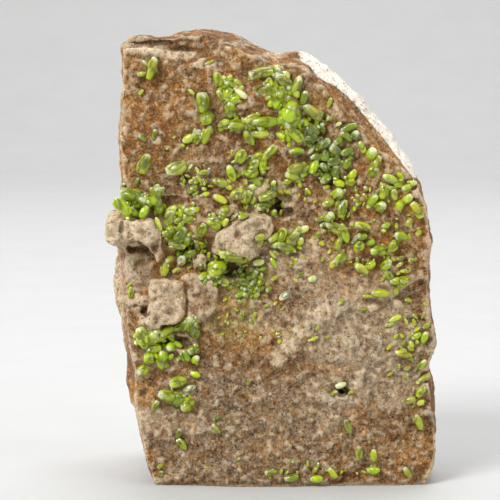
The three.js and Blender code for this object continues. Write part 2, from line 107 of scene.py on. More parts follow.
# Seat of a crystal on the rock, as shares of its length or width, and how deep scattered ones sink
SEAT_SHARE = 0.4
LEVELLING = 0.6
CENTRE_LIFT = 0.22
LEAN_LIFT = 0.1
RISE_SHARE = 0.5
SCATTER_SUNK = 0.05

# Crystal's form, as shares of its width or length: [least, greatest]
ROUNDNESS = (0.2, 0.7)
BULGE = (1.8, 2.7)
END_WIDTH = (0.3, 0.6)
END_BEVEL = 0.8
END_DIP = 0.97
WOBBLE = 0.05
BIG_FORM = (18, (-1.0, -0.96, -0.84, -0.62, -0.32, 0.0, 0.32, 0.62, 0.84, 0.96, 1.0))
SMALL_FORM = (6, (-1.0, -0.8, 0.0, 0.8, 1.0))
BIG_LEAST_WIDTH = 0.85
# Crystal ends that point this way, towards the key light, are whitened as a painted highlight
HIGHLIGHT_SIDE = Vector((-0.6, -0.2, 0.8))

# Crystals that grow from a larger one: [least, greatest] share of its size, how far from its axis
# as a share of its width, greatest turn in radians, and the least width that carries them
GROOVES = ((0.62, 0.86), 0.2, 0.2, 1.5)
SPROUTS = ((0.26, 0.42), 0.42, 0.5, 1.3)

# Lights: name, place and size in metres, watts and colour
LIGHTS = [
    ("key", (-0.44, -0.48, 0.65), 0.42, 6.9, (1.0, 0.99, 0.97)),
    ("back", (0.08, 0.28, 0.62), 0.7, 3.7, (1, 1, 1)),
    ("side", (-0.50, 0.10, 0.20), 0.30, 0.7, (1, 1, 1)),
    ("fill", (0.55, -0.25, 0.40), 0.60, 1.5, (1, 1, 1)),
]
LIGHTS_AIM = Vector((0, 0, 0.035))
SKY_COLOUR = (1.0, 1.0, 0.98, 1.0)
SKY_STRENGTH = 0.28

# Shades of the crystals
SHADES = {
    "bright": (186, 208, 18),
    "mid": (180, 200, 24),
    "deep": (146, 168, 18),
    "olive": (176, 180, 62),
    "yellow": (202, 202, 50),
    "pale": (212, 224, 88),
    # Whitish shade: pale frosted crystals, partly a painted highlight
    "white": (238, 242, 186),
    "grey": (134, 150, 46),
    "moss": (152, 162, 48),
}
USUAL_SHADE = "mid"

# Crystals by region: x, height, length, width, turn of the long axis from +X, lean out of the face
# in degrees, shade where it isn't the usual one, and extra lift where one sits on its neighbours
CRYSTALS = {
    "top_left": [
        (-17.6, 62.65, 3.1, 1.5, 75, 6), (-18.6, 63.3, 1.3, 0.6, -45, 15, "white"),
        (-19.2, 61.75, 1.3, 0.9, 10, 10, "olive"), (-19.35, 59.05, 1, 0.8, 45, 10, "olive"),
        (-11.85, 59.1, 1.2, 0.6, -40, 8, "pale"), (-9.15, 63.35, 1.5, 0.6, 20, 8, "olive"),
        (-19.2, 52.2, 1.4, 0.8, -35, 5, "grey"), (-17.4, 52.7, 1.7, 0.9, 80, 5, "grey"),
    ],
    "left_pair": [
        (-10.1, 57.45, 3.2, 1.9, 88, 8), (-9.6, 55.3, 2.2, 2, 60, 55, "bright"),
    ],
    "left_trio": [
        (-12.35, 52.1, 1.9, 1.3, 30, 5, "pale"), (-10.85, 53.1, 1.5, 1, -20, 20, "white"),
        (-9.65, 52.6, 2.6, 1.2, 70, 5), (-10.9, 52, 1.6, 1.1, 60, 10),
        (-9, 53.4, 0.9, 0.6, 30, 10, "pale"),
    ],
    "crown_left": [
        (-7.7, 61, 2.1, 1.5, 110, 10), (-6.25, 61, 1.5, 1, 60, 10),
        (-6.75, 60.1, 1.7, 1.3, 45, 25, "deep"), (-4.75, 60.4, 1.6, 0.9, -35, 5, "olive"),
        (-5.5, 60.1, 0.9, 0.6, 80, 10, "pale"), (-6.4, 58.9, 1.7, 1.4, 60, 10),
        (-4.4, 58.8, 2.2, 1.1, -35, 15, "white"), (-5.4, 57.9, 1.9, 1.4, 35, 5, "bright"),
        (-7.45, 58.6, 1.8, 1, -60, 10, "pale"), (-6.6, 57.8, 1.5, 1.2, 10, 30),
        (-6.1, 56.5, 2.4, 1.6, 80, 8),
    ],
    "crown": [
        (-1.7, 61.9, 3.4, 1.6, 12, 5, "olive"), (-3.1, 61.2, 1, 0.7, 60, 10),
        (0.8, 61.9, 1.6, 1, 60, 20, "white"), (2.25, 61.8, 1.2, 0.7, -20, 12, "pale"),
        (1.8, 60.6, 2.9, 1.7, -42, 15, "olive"), (-0.45, 60.5, 1.6, 1, 25, 10, "bright"),
        (0.3, 59.4, 2.5, 1.8, 110, 15), (1.4, 58.9, 2.3, 1.8, 60, 30),
        (2.5, 59, 1.2, 0.7, -10, 12, "pale"), (0.9, 57.7, 2.3, 1.6, 75, 15, "bright"),
        (-1.45, 59.2, 1.9, 0.8, 35, 5, "pale"), (-2.3, 59.7, 0.9, 0.7, 20, 10, "olive"),
        (3.85, 60.15, 2.7, 1.4, 72, 8, "olive"), (4.85, 58.2, 2.2, 1.2, 75, 8, "grey"),
    ],
    "heart": [
        (2.8, 56, 3.1, 2.8, 70, 62, "bright"), (3.2, 54.6, 2.3, 1.9, 20, 30, "bright"),
        (3.5, 53, 3.1, 1.8, -48, 10, "bright"), (1.6, 55, 1.8, 1.4, 30, 20),
        (6.1, 56.1, 3.2, 1.6, -40, 8, "olive"), (5.8, 53.5, 2.7, 1.6, -60, 12, "grey"),
        (5.7, 52.2, 2.1, 1.6, 10, 25, "grey"),
    ],
    "bar": [
        (-0.65, 54.7, 3.6, 1.8, 0, 5), (-3, 55.1, 2.3, 1.3, 15, 15, "pale"),
        (-5.2, 54.3, 2.9, 1.7, -5, 5), (-6.85, 54.4, 1.9, 1.5, 20, 20, "pale"),
        (-7.4, 53.7, 1.2, 1, 60, 15), (-4.15, 54.8, 1, 0.8, 30, 20, "white"),
        (-1.7, 52.85, 2.9, 1.2, 3, 8, "pale"), (-3.2, 52.3, 2.4, 1.4, -60, 12),
    ],
    "upper_right": [
        (8.6, 57.4, 1.6, 0.8, 70, 8, "olive"), (8.4, 55.2, 1, 0.6, 80, 8, "pale"),
        (10, 54.3, 1, 0.7, 30, 15, "white"), (11.45, 53.7, 2.6, 1.2, 20, 8, "grey"),
        (12.55, 52.6, 1.7, 1.6, 70, 55, "grey"), (11.1, 52.5, 2, 1.2, -40, 12, "grey"),
        (10, 51.8, 1.5, 1.1, 30, 20, "grey"), (13.55, 50.8, 1.7, 1.1, -60, 10, "pale"),
    ],
    "right_edge": [
        (15, 49.8, 2.1, 1.8, 80, 45, "bright"), (15.65, 48.4, 2.1, 1.5, 70, 12, "yellow"),
        (15.2, 47.2, 2, 1.6, 40, 15), (17.85, 46.1, 2.7, 1.3, -25, 8, "pale"),
        (19.45, 46.1, 0.9, 0.8, 40, 15, "pale"), (18.95, 45.3, 1.6, 1, -20, 10, "bright"),
        (20.2, 44.8, 1.7, 1.1, 15, 10), (21, 45.2, 1.7, 0.9, 10, 8, "white"),
        (12.2, 46.7, 1.7, 1.2, 60, 12, "bright"), (11.9, 45.6, 1.5, 1.2, 10, 30, "bright"),
    ],
    "left_mid": [
        (-18.9, 48.35, 3.1, 1.9, 70, 6), (-14.2, 47.7, 3.3, 1.9, 30, 12, "pale"),
        (-12.1, 47.85, 1.1, 0.5, 50, 12, "white"), (-10.95, 47.3, 1.3, 0.6, -60, 8, "pale"),
        (-10.1, 47.1, 1.2, 0.8, 20, 10, "pale"), (-9.3, 47.3, 1, 0.6, 80, 10, "white"),
        (-11.7, 45.8, 1.3, 0.9, 20, 12, "olive"), (-10.35, 45.7, 1, 0.7, 60, 12, "olive"),
        (-11.95, 44.5, 1.3, 0.9, 60, 12, "grey"), (-20.05, 45.7, 1.2, 0.7, 70, 8, "grey"),
        (-22, 45.2, 1, 0.7, 40, 10, "olive"),
    ],
    "ledge_left": [
        (-21, 43.75, 3.1, 2, -20, 8, "deep"), (-19.2, 42.8, 1.7, 1.5, 60, 55),
        (-17.25, 43.7, 3, 1.7, 70, 8), (-16.8, 41.9, 2.4, 1.5, 100, 10, "deep"),
        (-21.8, 41.9, 3.2, 1.9, -55, 12, "bright", 0.9), (-20.5, 41.1, 1.6, 1.1, -45, 15),
        (-19, 41.2, 2.1, 1.4, 60, 15), (-18.9, 42, 0.9, 0.6, 20, 20, "white"),
        (-22.3, 43.3, 0.9, 0.7, 60, 15, "bright"),
    ],
    "ledge_row": [
        (-14.9, 41.4, 1.9, 1.3, 40, 15, "pale"), (-15.2, 40.4, 2.4, 1.5, 60, 12, "olive"),
        (-13.5, 41.2, 1.7, 1.1, 85, 15, "bright"), (-11.95, 41.3, 1.6, 1.3, 30, 30, "pale"),
        (-12.3, 40.3, 1.7, 1.2, 0, 12), (-13.7, 40, 1.6, 1.1, 30, 12),
        (-11.7, 42.2, 0.9, 0.7, 60, 15, "pale"), (-17, 39.3, 2.2, 0.9, -60, 10, "pale"),
    ],
    "hollow": [
        (-15.3, 38.1, 1.9, 1.5, 30, 12), (-13.7, 37.9, 2.6, 1.8, 45, 12, "deep"),
        (-12.7, 36.9, 2.1, 1.3, 80, 12), (-14.3, 36.3, 2.7, 1.5, -10, 15, "pale"),
        (-13.5, 39.3, 1.5, 1, 60, 10), (-15.2, 39.5, 1.2, 0.8, 20, 10, "pale"),
        (-12.05, 34.4, 2.1, 1.4, 20, 12, "grey"), (-13.4, 33.6, 1.6, 1.3, 70, 25, "white"),
        (-15.7, 34.1, 1.5, 1.1, 30, 12, "olive"), (-14.2, 32.2, 1.4, 0.9, 20, 12, "pale"),
        (-16, 32.6, 2.2, 1.4, 80, 10, "yellow"),
    ],
    "centre_left": [
        (-10.35, 38.5, 2.1, 1.5, 65, 15), (-8.75, 40.1, 1.7, 0.9, 10, 10, "white"),
        (-8.5, 39.3, 2.2, 1.5, -30, 12), (-7, 41.35, 1.8, 1.5, 40, 15),
        (-7.25, 40.4, 1, 0.9, 20, 15), (-7.6, 43.2, 2.2, 1.2, -25, 8, "pale"),
        (-7.5, 45.6, 2.1, 1.4, -15, 10, "olive"), (-6.7, 39.5, 1.4, 0.9, 60, 12, "pale"),
        (-5.5, 40.3, 1.6, 0.6, 40, 12, "white"), (-4.15, 40.4, 1.5, 1, 20, 12, "olive"),
    ],
    "centre": [
        (-4.6, 49.5, 2.3, 1.7, 60, 10), (-5.4, 48.7, 1.1, 0.5, 10, 12, "white"),
        (-3.35, 49.4, 0.9, 0.5, 30, 12, "white"), (-2.7, 48.3, 2.4, 1.7, 50, 10, "bright"),
        (-2.9, 47.2, 2.1, 1.7, 20, 20), (-2.05, 49.4, 1.8, 1.2, 10, 15),
        (-1.2, 48.4, 2.3, 1.3, 80, 12, "bright"), (-0.3, 50.1, 2.8, 1.3, 50, 12),
        (-5.95, 47, 2.6, 1.4, -70, 8), (-2.3, 45.9, 2.4, 1.3, -50, 10, "deep"),
        (-2.7, 44.85, 1.6, 0.9, 0, 12, "white"), (-5, 43.9, 2.3, 1.7, 30, 10, "pale"),
        (-3.6, 43.4, 2.1, 1.4, 70, 12), (-1.3, 42.9, 1.1, 0.9, 60, 30, "white"),
        (-1.2, 41.8, 2.6, 1.3, 10, 12, "grey"), (-0.45, 43.7, 2.6, 1.7, 30, 12, "olive"),
        (0.35, 45.5, 1, 0.8, 60, 30, "pale"), (0.4, 44.5, 1.9, 1.2, 80, 15, "grey"),
    ],
    "centre_right": [
        (3.75, 50.3, 2.3, 1.3, 0, 8), (6, 50.5, 1.6, 0.8, 50, 12, "white"),
        (6.6, 49.5, 1.7, 1.1, 20, 15, "grey"), (6.35, 47.9, 2.3, 1.4, 60, 12, "bright"),
        (4.9, 46.9, 1.3, 1.1, 40, 20), (4, 47.7, 3, 1.9, 25, 8, "olive"),
        (3.2, 46.5, 2.4, 1.4, -20, 12), (2.4, 45.7, 1.5, 1.1, 20, 15, "olive"),
    ],
    "dark_zone": [
        (8, 51.3, 2.1, 1.5, 40, 12, "grey"), (9.6, 50.5, 2.2, 1.6, -50, 12, "grey"),
        (8.1, 49.7, 1.9, 1.5, 70, 20, "grey"), (11.3, 50.2, 1.9, 1.4, 20, 12, "grey"),
        (9.5, 48.8, 2.1, 1.6, 10, 12, "grey"), (11.4, 48.5, 2, 1.4, 60, 12, "deep"),
        (8, 47.9, 2, 1.5, -30, 20, "grey"), (9.8, 47.1, 2.1, 1.5, 80, 12, "deep"),
        (8.1, 46, 2, 1.4, 30, 12, "grey"), (10.2, 45.4, 1.8, 1.3, -20, 12),
    ],
    "right_mid": [
        (10, 43.9, 2.1, 1.9, 60, 55), (8.55, 42.5, 1.9, 1.4, 20, 10, "olive"),
        (8.8, 40.4, 1.8, 1.6, 70, 50), (10.65, 41.5, 2.6, 1.5, 80, 8),
        (9.5, 38.9, 2.8, 1.6, -20, 8, "olive"), (11, 38, 3, 1.4, -70, 8),
        (7.45, 40.1, 1.6, 0.9, 10, 10, "pale"), (7.95, 39.3, 1.4, 0.7, 20, 12, "white"),
        (13.75, 39.1, 2.5, 1.3, -15, 8, "yellow"), (12.75, 37.2, 1.9, 0.8, 50, 10, "white"),
        (13.7, 37.5, 1.4, 1, 20, 12), (13.1, 36, 1.9, 1.6, 60, 45, "bright"),
        (10.2, 36.5, 2.1, 1.2, 70, 8, "olive"), (10.4, 34.3, 1.9, 1.4, 30, 10),
        (9.3, 33.3, 1.5, 1.1, 60, 15, "pale"), (14.9, 36.7, 1.3, 1.1, 20, 20),
        (6.85, 37.6, 1.5, 0.8, 40, 8, "yellow"), (7.55, 36.6, 0.9, 0.5, 30, 10, "white"),
    ],
    "far_right": [
        (15.2, 43, 2.1, 1.4, 50, 10), (15.85, 44.2, 1.2, 0.6, 60, 12, "white"),
        (16.8, 44.2, 2.2, 1.6, 70, 12, "bright"), (16.3, 42, 2.1, 1.8, 40, 45),
        (18.3, 43.7, 1.7, 1.2, -70, 8, "pale"), (19.2, 42.2, 1.8, 1.4, 70, 45),
        (20.35, 43.1, 1.8, 1.3, 40, 20, "pale"), (21.8, 41.5, 2.8, 1.6, -60, 6, "yellow"),
        (19.45, 37.6, 2.1, 1.6, -15, 8), (18.2, 36.2, 1.8, 1.5, 60, 45),
        (15.95, 35.4, 2.2, 1.4, 10, 8, "bright"), (20.6, 39.6, 1.4, 1, 60, 10, "olive"),
        (17.2, 39.2, 1.4, 1, 20, 10, "olive"),
    ],
    "right_low": [
        (13.6, 32.6, 2.3, 1.4, -35, 8, "pale"), (14.9, 33.2, 1.8, 1.4, 30, 15, "bright"),
        (17.3, 33.2, 2.1, 1.5, 45, 10), (17.7, 31.6, 2.4, 1.2, -50, 8, "olive"),
        (19.4, 30.75, 2.6, 1.6, 10, 8), (18.8, 29.4, 1.7, 1, 80, 8, "olive"),
        (20.2, 32.3, 1.7, 0.8, 5, 8, "yellow"), (19.3, 33.2, 1.1, 0.6, 30, 8, "pale"),
        (19.4, 34.2, 1.1, 0.7, 20, 10, "olive"), (21.3, 34.1, 1.2, 0.8, 10, 8, "olive"),
        (16.85, 31.1, 1, 0.6, 60, 8, "olive"), (16.45, 28.85, 2.7, 1.4, -2, 6, "yellow"),
        (14.5, 28.4, 1.5, 0.6, -5, 6, "yellow"), (13.75, 26.5, 1.5, 0.6, -5, 6, "olive"),
        (18.7, 25, 2, 0.9, 25, 6, "pale"), (17.9, 24.1, 1.6, 0.7, 20, 6, "olive"),
        (22, 23.4, 1.1, 0.7, 30, 10, "yellow"), (21.9, 22.4, 1.6, 1, 30, 8),
        (23.1, 22.2, 1.8, 1.2, 70, 8), (23.4, 23.8, 1.2, 0.9, 30, 12, "olive"),
        (19.95, 19.7, 2.6, 1.2, -15, 6, "yellow"), (22.8, 18.05, 1.8, 1, 50, 6),
        (20.6, 17.4, 1.1, 0.7, 20, 8, "pale"), (10.4, 27.5, 1.2, 0.7, 40, 8, "olive"),
    ],
    "middle": [
        (0.65, 37.4, 2.4, 1.2, 30, 10, "pale"), (1.7, 37.7, 2.1, 1.6, 70, 15),
        (1.1, 36.3, 1.8, 1.2, 20, 15), (3.2, 37.2, 2.4, 1.6, 40, 10, "olive"),
        (2.2, 35.9, 2.6, 1.3, -10, 10, "olive"), (5, 38.6, 1.5, 1.1, 30, 15, "white"),
        (4, 38.1, 1.9, 1.3, 60, 12), (-1.7, 37.6, 1.5, 1.2, 30, 15, "olive"),
        (-1.8, 36.6, 1.2, 0.8, 60, 12, "pale"), (-1, 36.6, 0.9, 0.7, 10, 15, "olive"),
    ],
    "centre_low": [
        (-6.15, 34.9, 3.6, 1.5, -15, 8, "bright"), (-8.1, 33.5, 2.8, 2.2, 20, 20, "bright", 0.5),
        (-9.4, 33.2, 2, 1.6, 70, 20, "mid", 0.3), (-4.4, 34.2, 1.8, 1.2, 20, 10, "olive"),
        (-10.2, 31.4, 1.9, 1.2, 20, 12), (-7.45, 30.6, 2.5, 1.5, -30, 8, "pale"),
        (-9.2, 31.3, 2.1, 1.5, 60, 15), (-1.8, 33.5, 1.7, 1.1, 10, 12, "white"),
        (-2.6, 31.6, 1.8, 1.2, 50, 12, "deep"), (-3.9, 30.4, 1.7, 1.2, -20, 12, "deep"),
        (-2, 29.4, 1.7, 1.1, 70, 12, "deep"), (-4.6, 28.6, 1.6, 1.1, 30, 12, "deep"),
        (0.4, 33.5, 1.7, 0.9, -60, 8), (0.6, 31.2, 1.2, 0.7, 30, 10, "olive"),
        (2.1, 28.5, 2.1, 1.1, 35, 8, "white"), (6.2, 31.1, 1.3, 1, 20, 20, "white"),
        (3.4, 33.5, 1.6, 0.8, 52, 8, "yellow"), (4.4, 31.7, 1, 0.8, 20, 12, "olive"),
        (5.8, 29.85, 0.9, 0.5, 20, 12, "white"), (6.3, 22.1, 1.7, 0.6, 20, 8, "pale"),
        (7, 23.8, 1, 0.7, 60, 8, "olive"),
    ],
    "foot_left": [
        (-19.3, 22.5, 2.8, 2, -70, 10, "bright"), (-18.1, 22.2, 2.4, 2, 60, 15),
        (-17, 22.3, 2.4, 1.6, 10, 15), (-15.7, 23.1, 2.4, 1.4, 30, 12),
        (-12.8, 24.6, 2.7, 1.5, 55, 10, "bright"), (-12, 25.3, 0.9, 0.6, 50, 20, "white"),
        (-13.7, 23.8, 1.8, 1.2, 20, 12), (-11.5, 23.5, 2.4, 1.6, 90, 10, "deep"),
        (-21.1, 28.8, 1.7, 1, 80, 6, "yellow"), (-21.3, 29.9, 1, 0.7, 40, 8, "olive"),
    ],
    "low_left": [
        (-15.15, 20.6, 1.7, 1.4, 60, 50), (-17.6, 20.4, 2.3, 1.6, 10, 15),
        (-18.3, 19.2, 2, 1.8, 70, 40), (-16.5, 18.7, 2.6, 1.8, 100, 12),
        (-11.75, 20.3, 1.8, 1.4, 30, 15, "deep"), (-11.4, 18.8, 1.6, 1.3, 60, 45, "bright"),
        (-12.8, 19.4, 1.9, 1.1, -60, 10, "deep"), (-19.35, 17.2, 1.8, 1.6, 30, 40, "bright"),
        (-14.05, 15.5, 2.7, 1.8, 10, 10), (-11.4, 16.5, 1.6, 1.1, -20, 10, "bright"),
        (-12.35, 14.35, 2.1, 1.1, 20, 10, "white"), (-15.55, 13.2, 3, 2, -20, 10),
        (-14.2, 12.7, 3.2, 1.8, -20, 8, "deep"), (-12.65, 12.1, 2.3, 2, 30, 25),
        (-17.4, 11.8, 1.7, 1.2, 60, 10, "olive"), (-8.1, 9.9, 1.2, 0.8, 20, 8, "grey"),
        (-8.25, 8.35, 1.8, 0.8, -50, 8, "olive"), (-13.9, 7.6, 1.7, 0.8, 80, 8, "grey"),
        (-13.4, 6, 2.1, 1.1, -55, 8, "bright"), (-16.7, 2.6, 1, 0.8, 30, 8, "olive"),
        (-16.6, 1.4, 0.9, 0.7, 70, 8, "olive"), (-3.3, 15.4, 1, 0.6, 60, 8, "olive"),
    ],
    "low_right": [
        (0, 1.8, 1.9, 1, 5, 6, "olive"), (3.1, 1, 2.2, 1.2, 10, 6, "olive"),
        (6.9, 0.8, 1.9, 1.2, 5, 6, "bright"), (6.65, 2.1, 0.9, 0.8, 60, 8, "olive"),
        (9.3, 1.7, 1.9, 1.1, -50, 6, "yellow"), (10.5, 15.1, 1.7, 1, 15, 8, "white"),
        (9.5, 13.8, 1, 0.7, 40, 8, "yellow"), (12.1, 13.9, 1, 0.6, 30, 8, "olive"),
        (11.6, 8.7, 2.1, 1, -70, 6, "olive"), (13.25, 4.6, 2.2, 1.1, 88, 6, "olive"),
        (15.5, 4.2, 1.9, 1.2, 90, 8, "bright"), (15.5, 2, 2, 1.3, 0, 8),
        (20.7, 1.5, 2, 1.1, -55, 6, "olive"), (22.7, 12.2, 1.2, 1, 30, 15, "pale"),
        (22.6, 13.8, 1.8, 1.2, 60, 8), (20.9, 12.5, 2.1, 1.2, 20, 8, "olive"),
        (23, 15.8, 2.2, 1, 35, 6, "yellow"), (22.4, 9.2, 2.4, 1.3, -70, 6, "olive"),
        (18, 16.6, 0.9, 0.6, 30, 8, "olive"),
    ],
}

# Small crystals that fill in round the named ones: x, height, half width, half height, how many,
# least and greatest length, and the shades to draw from
SCATTER = {
    "moss": [
        (-3.6, 30.5, 2.8, 2.2, 96, 0.6, 1.3, ("moss", "mid", "moss", "deep")),
        (-8.4, 31.8, 2, 1.6, 26, 0.7, 1.4, ("mid", "deep", "bright")),
        (-12.2, 35.4, 2.4, 1.6, 44, 0.5, 1.1, ("moss", "moss", "mid")),
        (-14.2, 37.6, 2, 1.8, 36, 0.7, 1.4, ("mid", "pale", "moss")),
        (-6, 34.6, 2.6, 1, 20, 0.7, 1.2, ("bright", "mid")),
    ],
    "centre_druse": [
        (-3, 46.5, 3.2, 3.2, 22, 0.6, 1.3, ("mid", "olive", "pale", "bright")),
        (-1, 42.8, 2.8, 1.6, 22, 0.6, 1.3, ("moss", "mid", "pale")),
        (1.6, 36.8, 2.8, 1.4, 22, 0.7, 1.4, ("olive", "mid", "pale")),
        (4.8, 44.6, 3.4, 2.4, 14, 0.6, 1.2, ("olive", "yellow", "mid")),
        (-8.2, 40, 2.2, 1.2, 16, 0.7, 1.4, ("mid", "pale", "bright")),
        (-11.6, 45.6, 2.4, 2, 20, 0.6, 1.2, ("olive", "pale", "mid")),
    ],
    "right_druse": [
        (9.4, 48.4, 2.8, 3.8, 30, 0.7, 1.4, ("grey", "deep", "grey", "pale", "moss")),
        (10, 37.6, 3, 3.6, 22, 0.6, 1.2, ("olive", "yellow", "mid")),
        (18.6, 38.6, 4, 4.8, 18, 0.6, 1.2, ("olive", "yellow", "mid", "pale")),
        (12.8, 43.6, 3.4, 2.8, 16, 0.6, 1.2, ("mid", "olive", "pale")),
        (18.6, 45.2, 2.6, 1.4, 14, 0.7, 1.3, ("mid", "pale", "bright")),
        (15.6, 34.4, 4.2, 3, 20, 0.6, 1.2, ("olive", "yellow", "mid")),
    ],
    "crown_druse": [
        (1.2, 59.4, 1.8, 2.4, 76, 0.8, 1.7, ("mid", "bright", "pale")),
        (-6.2, 59, 1.6, 2.4, 34, 0.8, 1.5, ("mid", "pale", "bright")),
        (3.2, 54.4, 1.8, 2.2, 60, 0.8, 1.6, ("bright", "mid")),
        (-3.4, 54.2, 3.6, 0.9, 34, 0.8, 1.5, ("mid", "pale", "bright")),
        (6.8, 53.4, 2, 2.4, 24, 0.8, 1.6, ("grey", "deep", "moss")),
        (-10.4, 52.8, 1.6, 0.9, 16, 0.8, 1.4, ("mid", "pale")),
    ],
    "left_druse": [
        (-19.4, 42.8, 3, 1.5, 60, 0.8, 1.7, ("deep", "mid", "bright")),
        (-13.6, 41, 2.4, 0.9, 36, 0.7, 1.5, ("mid", "bright", "pale")),
        (-17.6, 22.2, 2.6, 1, 32, 0.8, 1.6, ("mid", "bright", "pale")),
        (-12.4, 23.8, 1.4, 1.2, 16, 0.7, 1.4, ("mid", "deep", "moss")),
        (-16.4, 19.2, 2.2, 1.8, 16, 0.7, 1.4, ("mid", "deep")),
        (-14.2, 12.8, 2.2, 1, 16, 0.8, 1.5, ("mid", "deep", "pale")),
    ],
    "sparse": [
        (20.8, 21, 3.4, 8, 26, 0.6, 1.2, ("olive", "yellow", "mid")),
        (-14, 50, 7, 6, 10, 0.4, 0.8, ("pale", "olive")),
        (3, 26, 9, 8, 16, 0.5, 0.9, ("olive", "pale", "yellow")),
        (6, 2.4, 14, 1.8, 24, 0.6, 1.1, ("olive", "mid")),
        (-5, 25.6, 3.6, 2.6, 16, 0.6, 1, ("moss", "olive", "yellow")),
    ],
}

# Hollows pressed into the front: x, height, half width, half height, depth
HOLLOWS = [
    (-17.8, 66.35, 3.4, 0.4, 0.5), (-13.2, 65.3, 2.2, 0.35, 0.4), (-22.2, 38.4, 0.35, 1.6, 0.6),
    (-5.2, 38.6, 0.4, 1.6, 0.4), (-19.2, 27, 1.4, 0.35, 0.5),
    (0.4, 42, 1.3, 1, 1.5), (1.9, 41.1, 1.3, 0.8, 1.2), (-12.8, 35.7, 1.3, 1.2, 1),
    (-9.7, 32.5, 1.8, 0.9, 0.8), (-5.8, 32.2, 2.2, 1.3, 1.4),
    (-15.2, 42.8, 2.4, 0.8, 0.6), (-12.9, 27.6, 0.6, 2.8, 0.35), (3.4, 23.9, 2, 0.6, 0.5),
    (1.2, 21.4, 1.4, 0.6, 0.5), (11, 13.9, 0.9, 0.8, 0.8), (7, 52.8, 1.4, 1.4, 0.7),
    (8.8, 47, 1.4, 2.2, 0.6), (-2.4, 46.6, 1.6, 2, 0.5), (-18.9, 26.1, 0.8, 0.7, 0.8),
    (-15.6, 21.6, 2.6, 0.8, 0.6), (-13.4, 21.2, 1.2, 1, 0.5), (4.6, 35, 2.2, 1, 0.5),
    (13.6, 41.2, 1.4, 1.6, 0.4), (12.2, 52.4, 1.8, 1, 0.4), (1.8, 43, 1.6, 1, 0.8),
    (-7.4, 42.4, 1.4, 0.8, 0.4), (6, 40, 1.4, 1.2, 0.4), (-19.2, 13.5, 0.5, 0.5, 0.6),
    (19.5, 35.4, 1.6, 1, 0.4), (22, 24.6, 1.6, 0.5, 0.5),
]

# Places where a step fades into the face, smoothed away: x, height, half width, half height
FADED_STEPS = [(-8, 66, 3.4, 2.6)]

# Inner edge of the pale rim at the upper right, partly pale broken stone and partly painted rim light, as
# [x, height]
RIM_EDGE = [
    (3.4, 64), (5.7, 63), (6.9, 61.2), (9.4, 60), (11.6, 58.2), (14, 55.4), (16.6, 52.4),
    (18.6, 49.8), (21.4, 46),
]
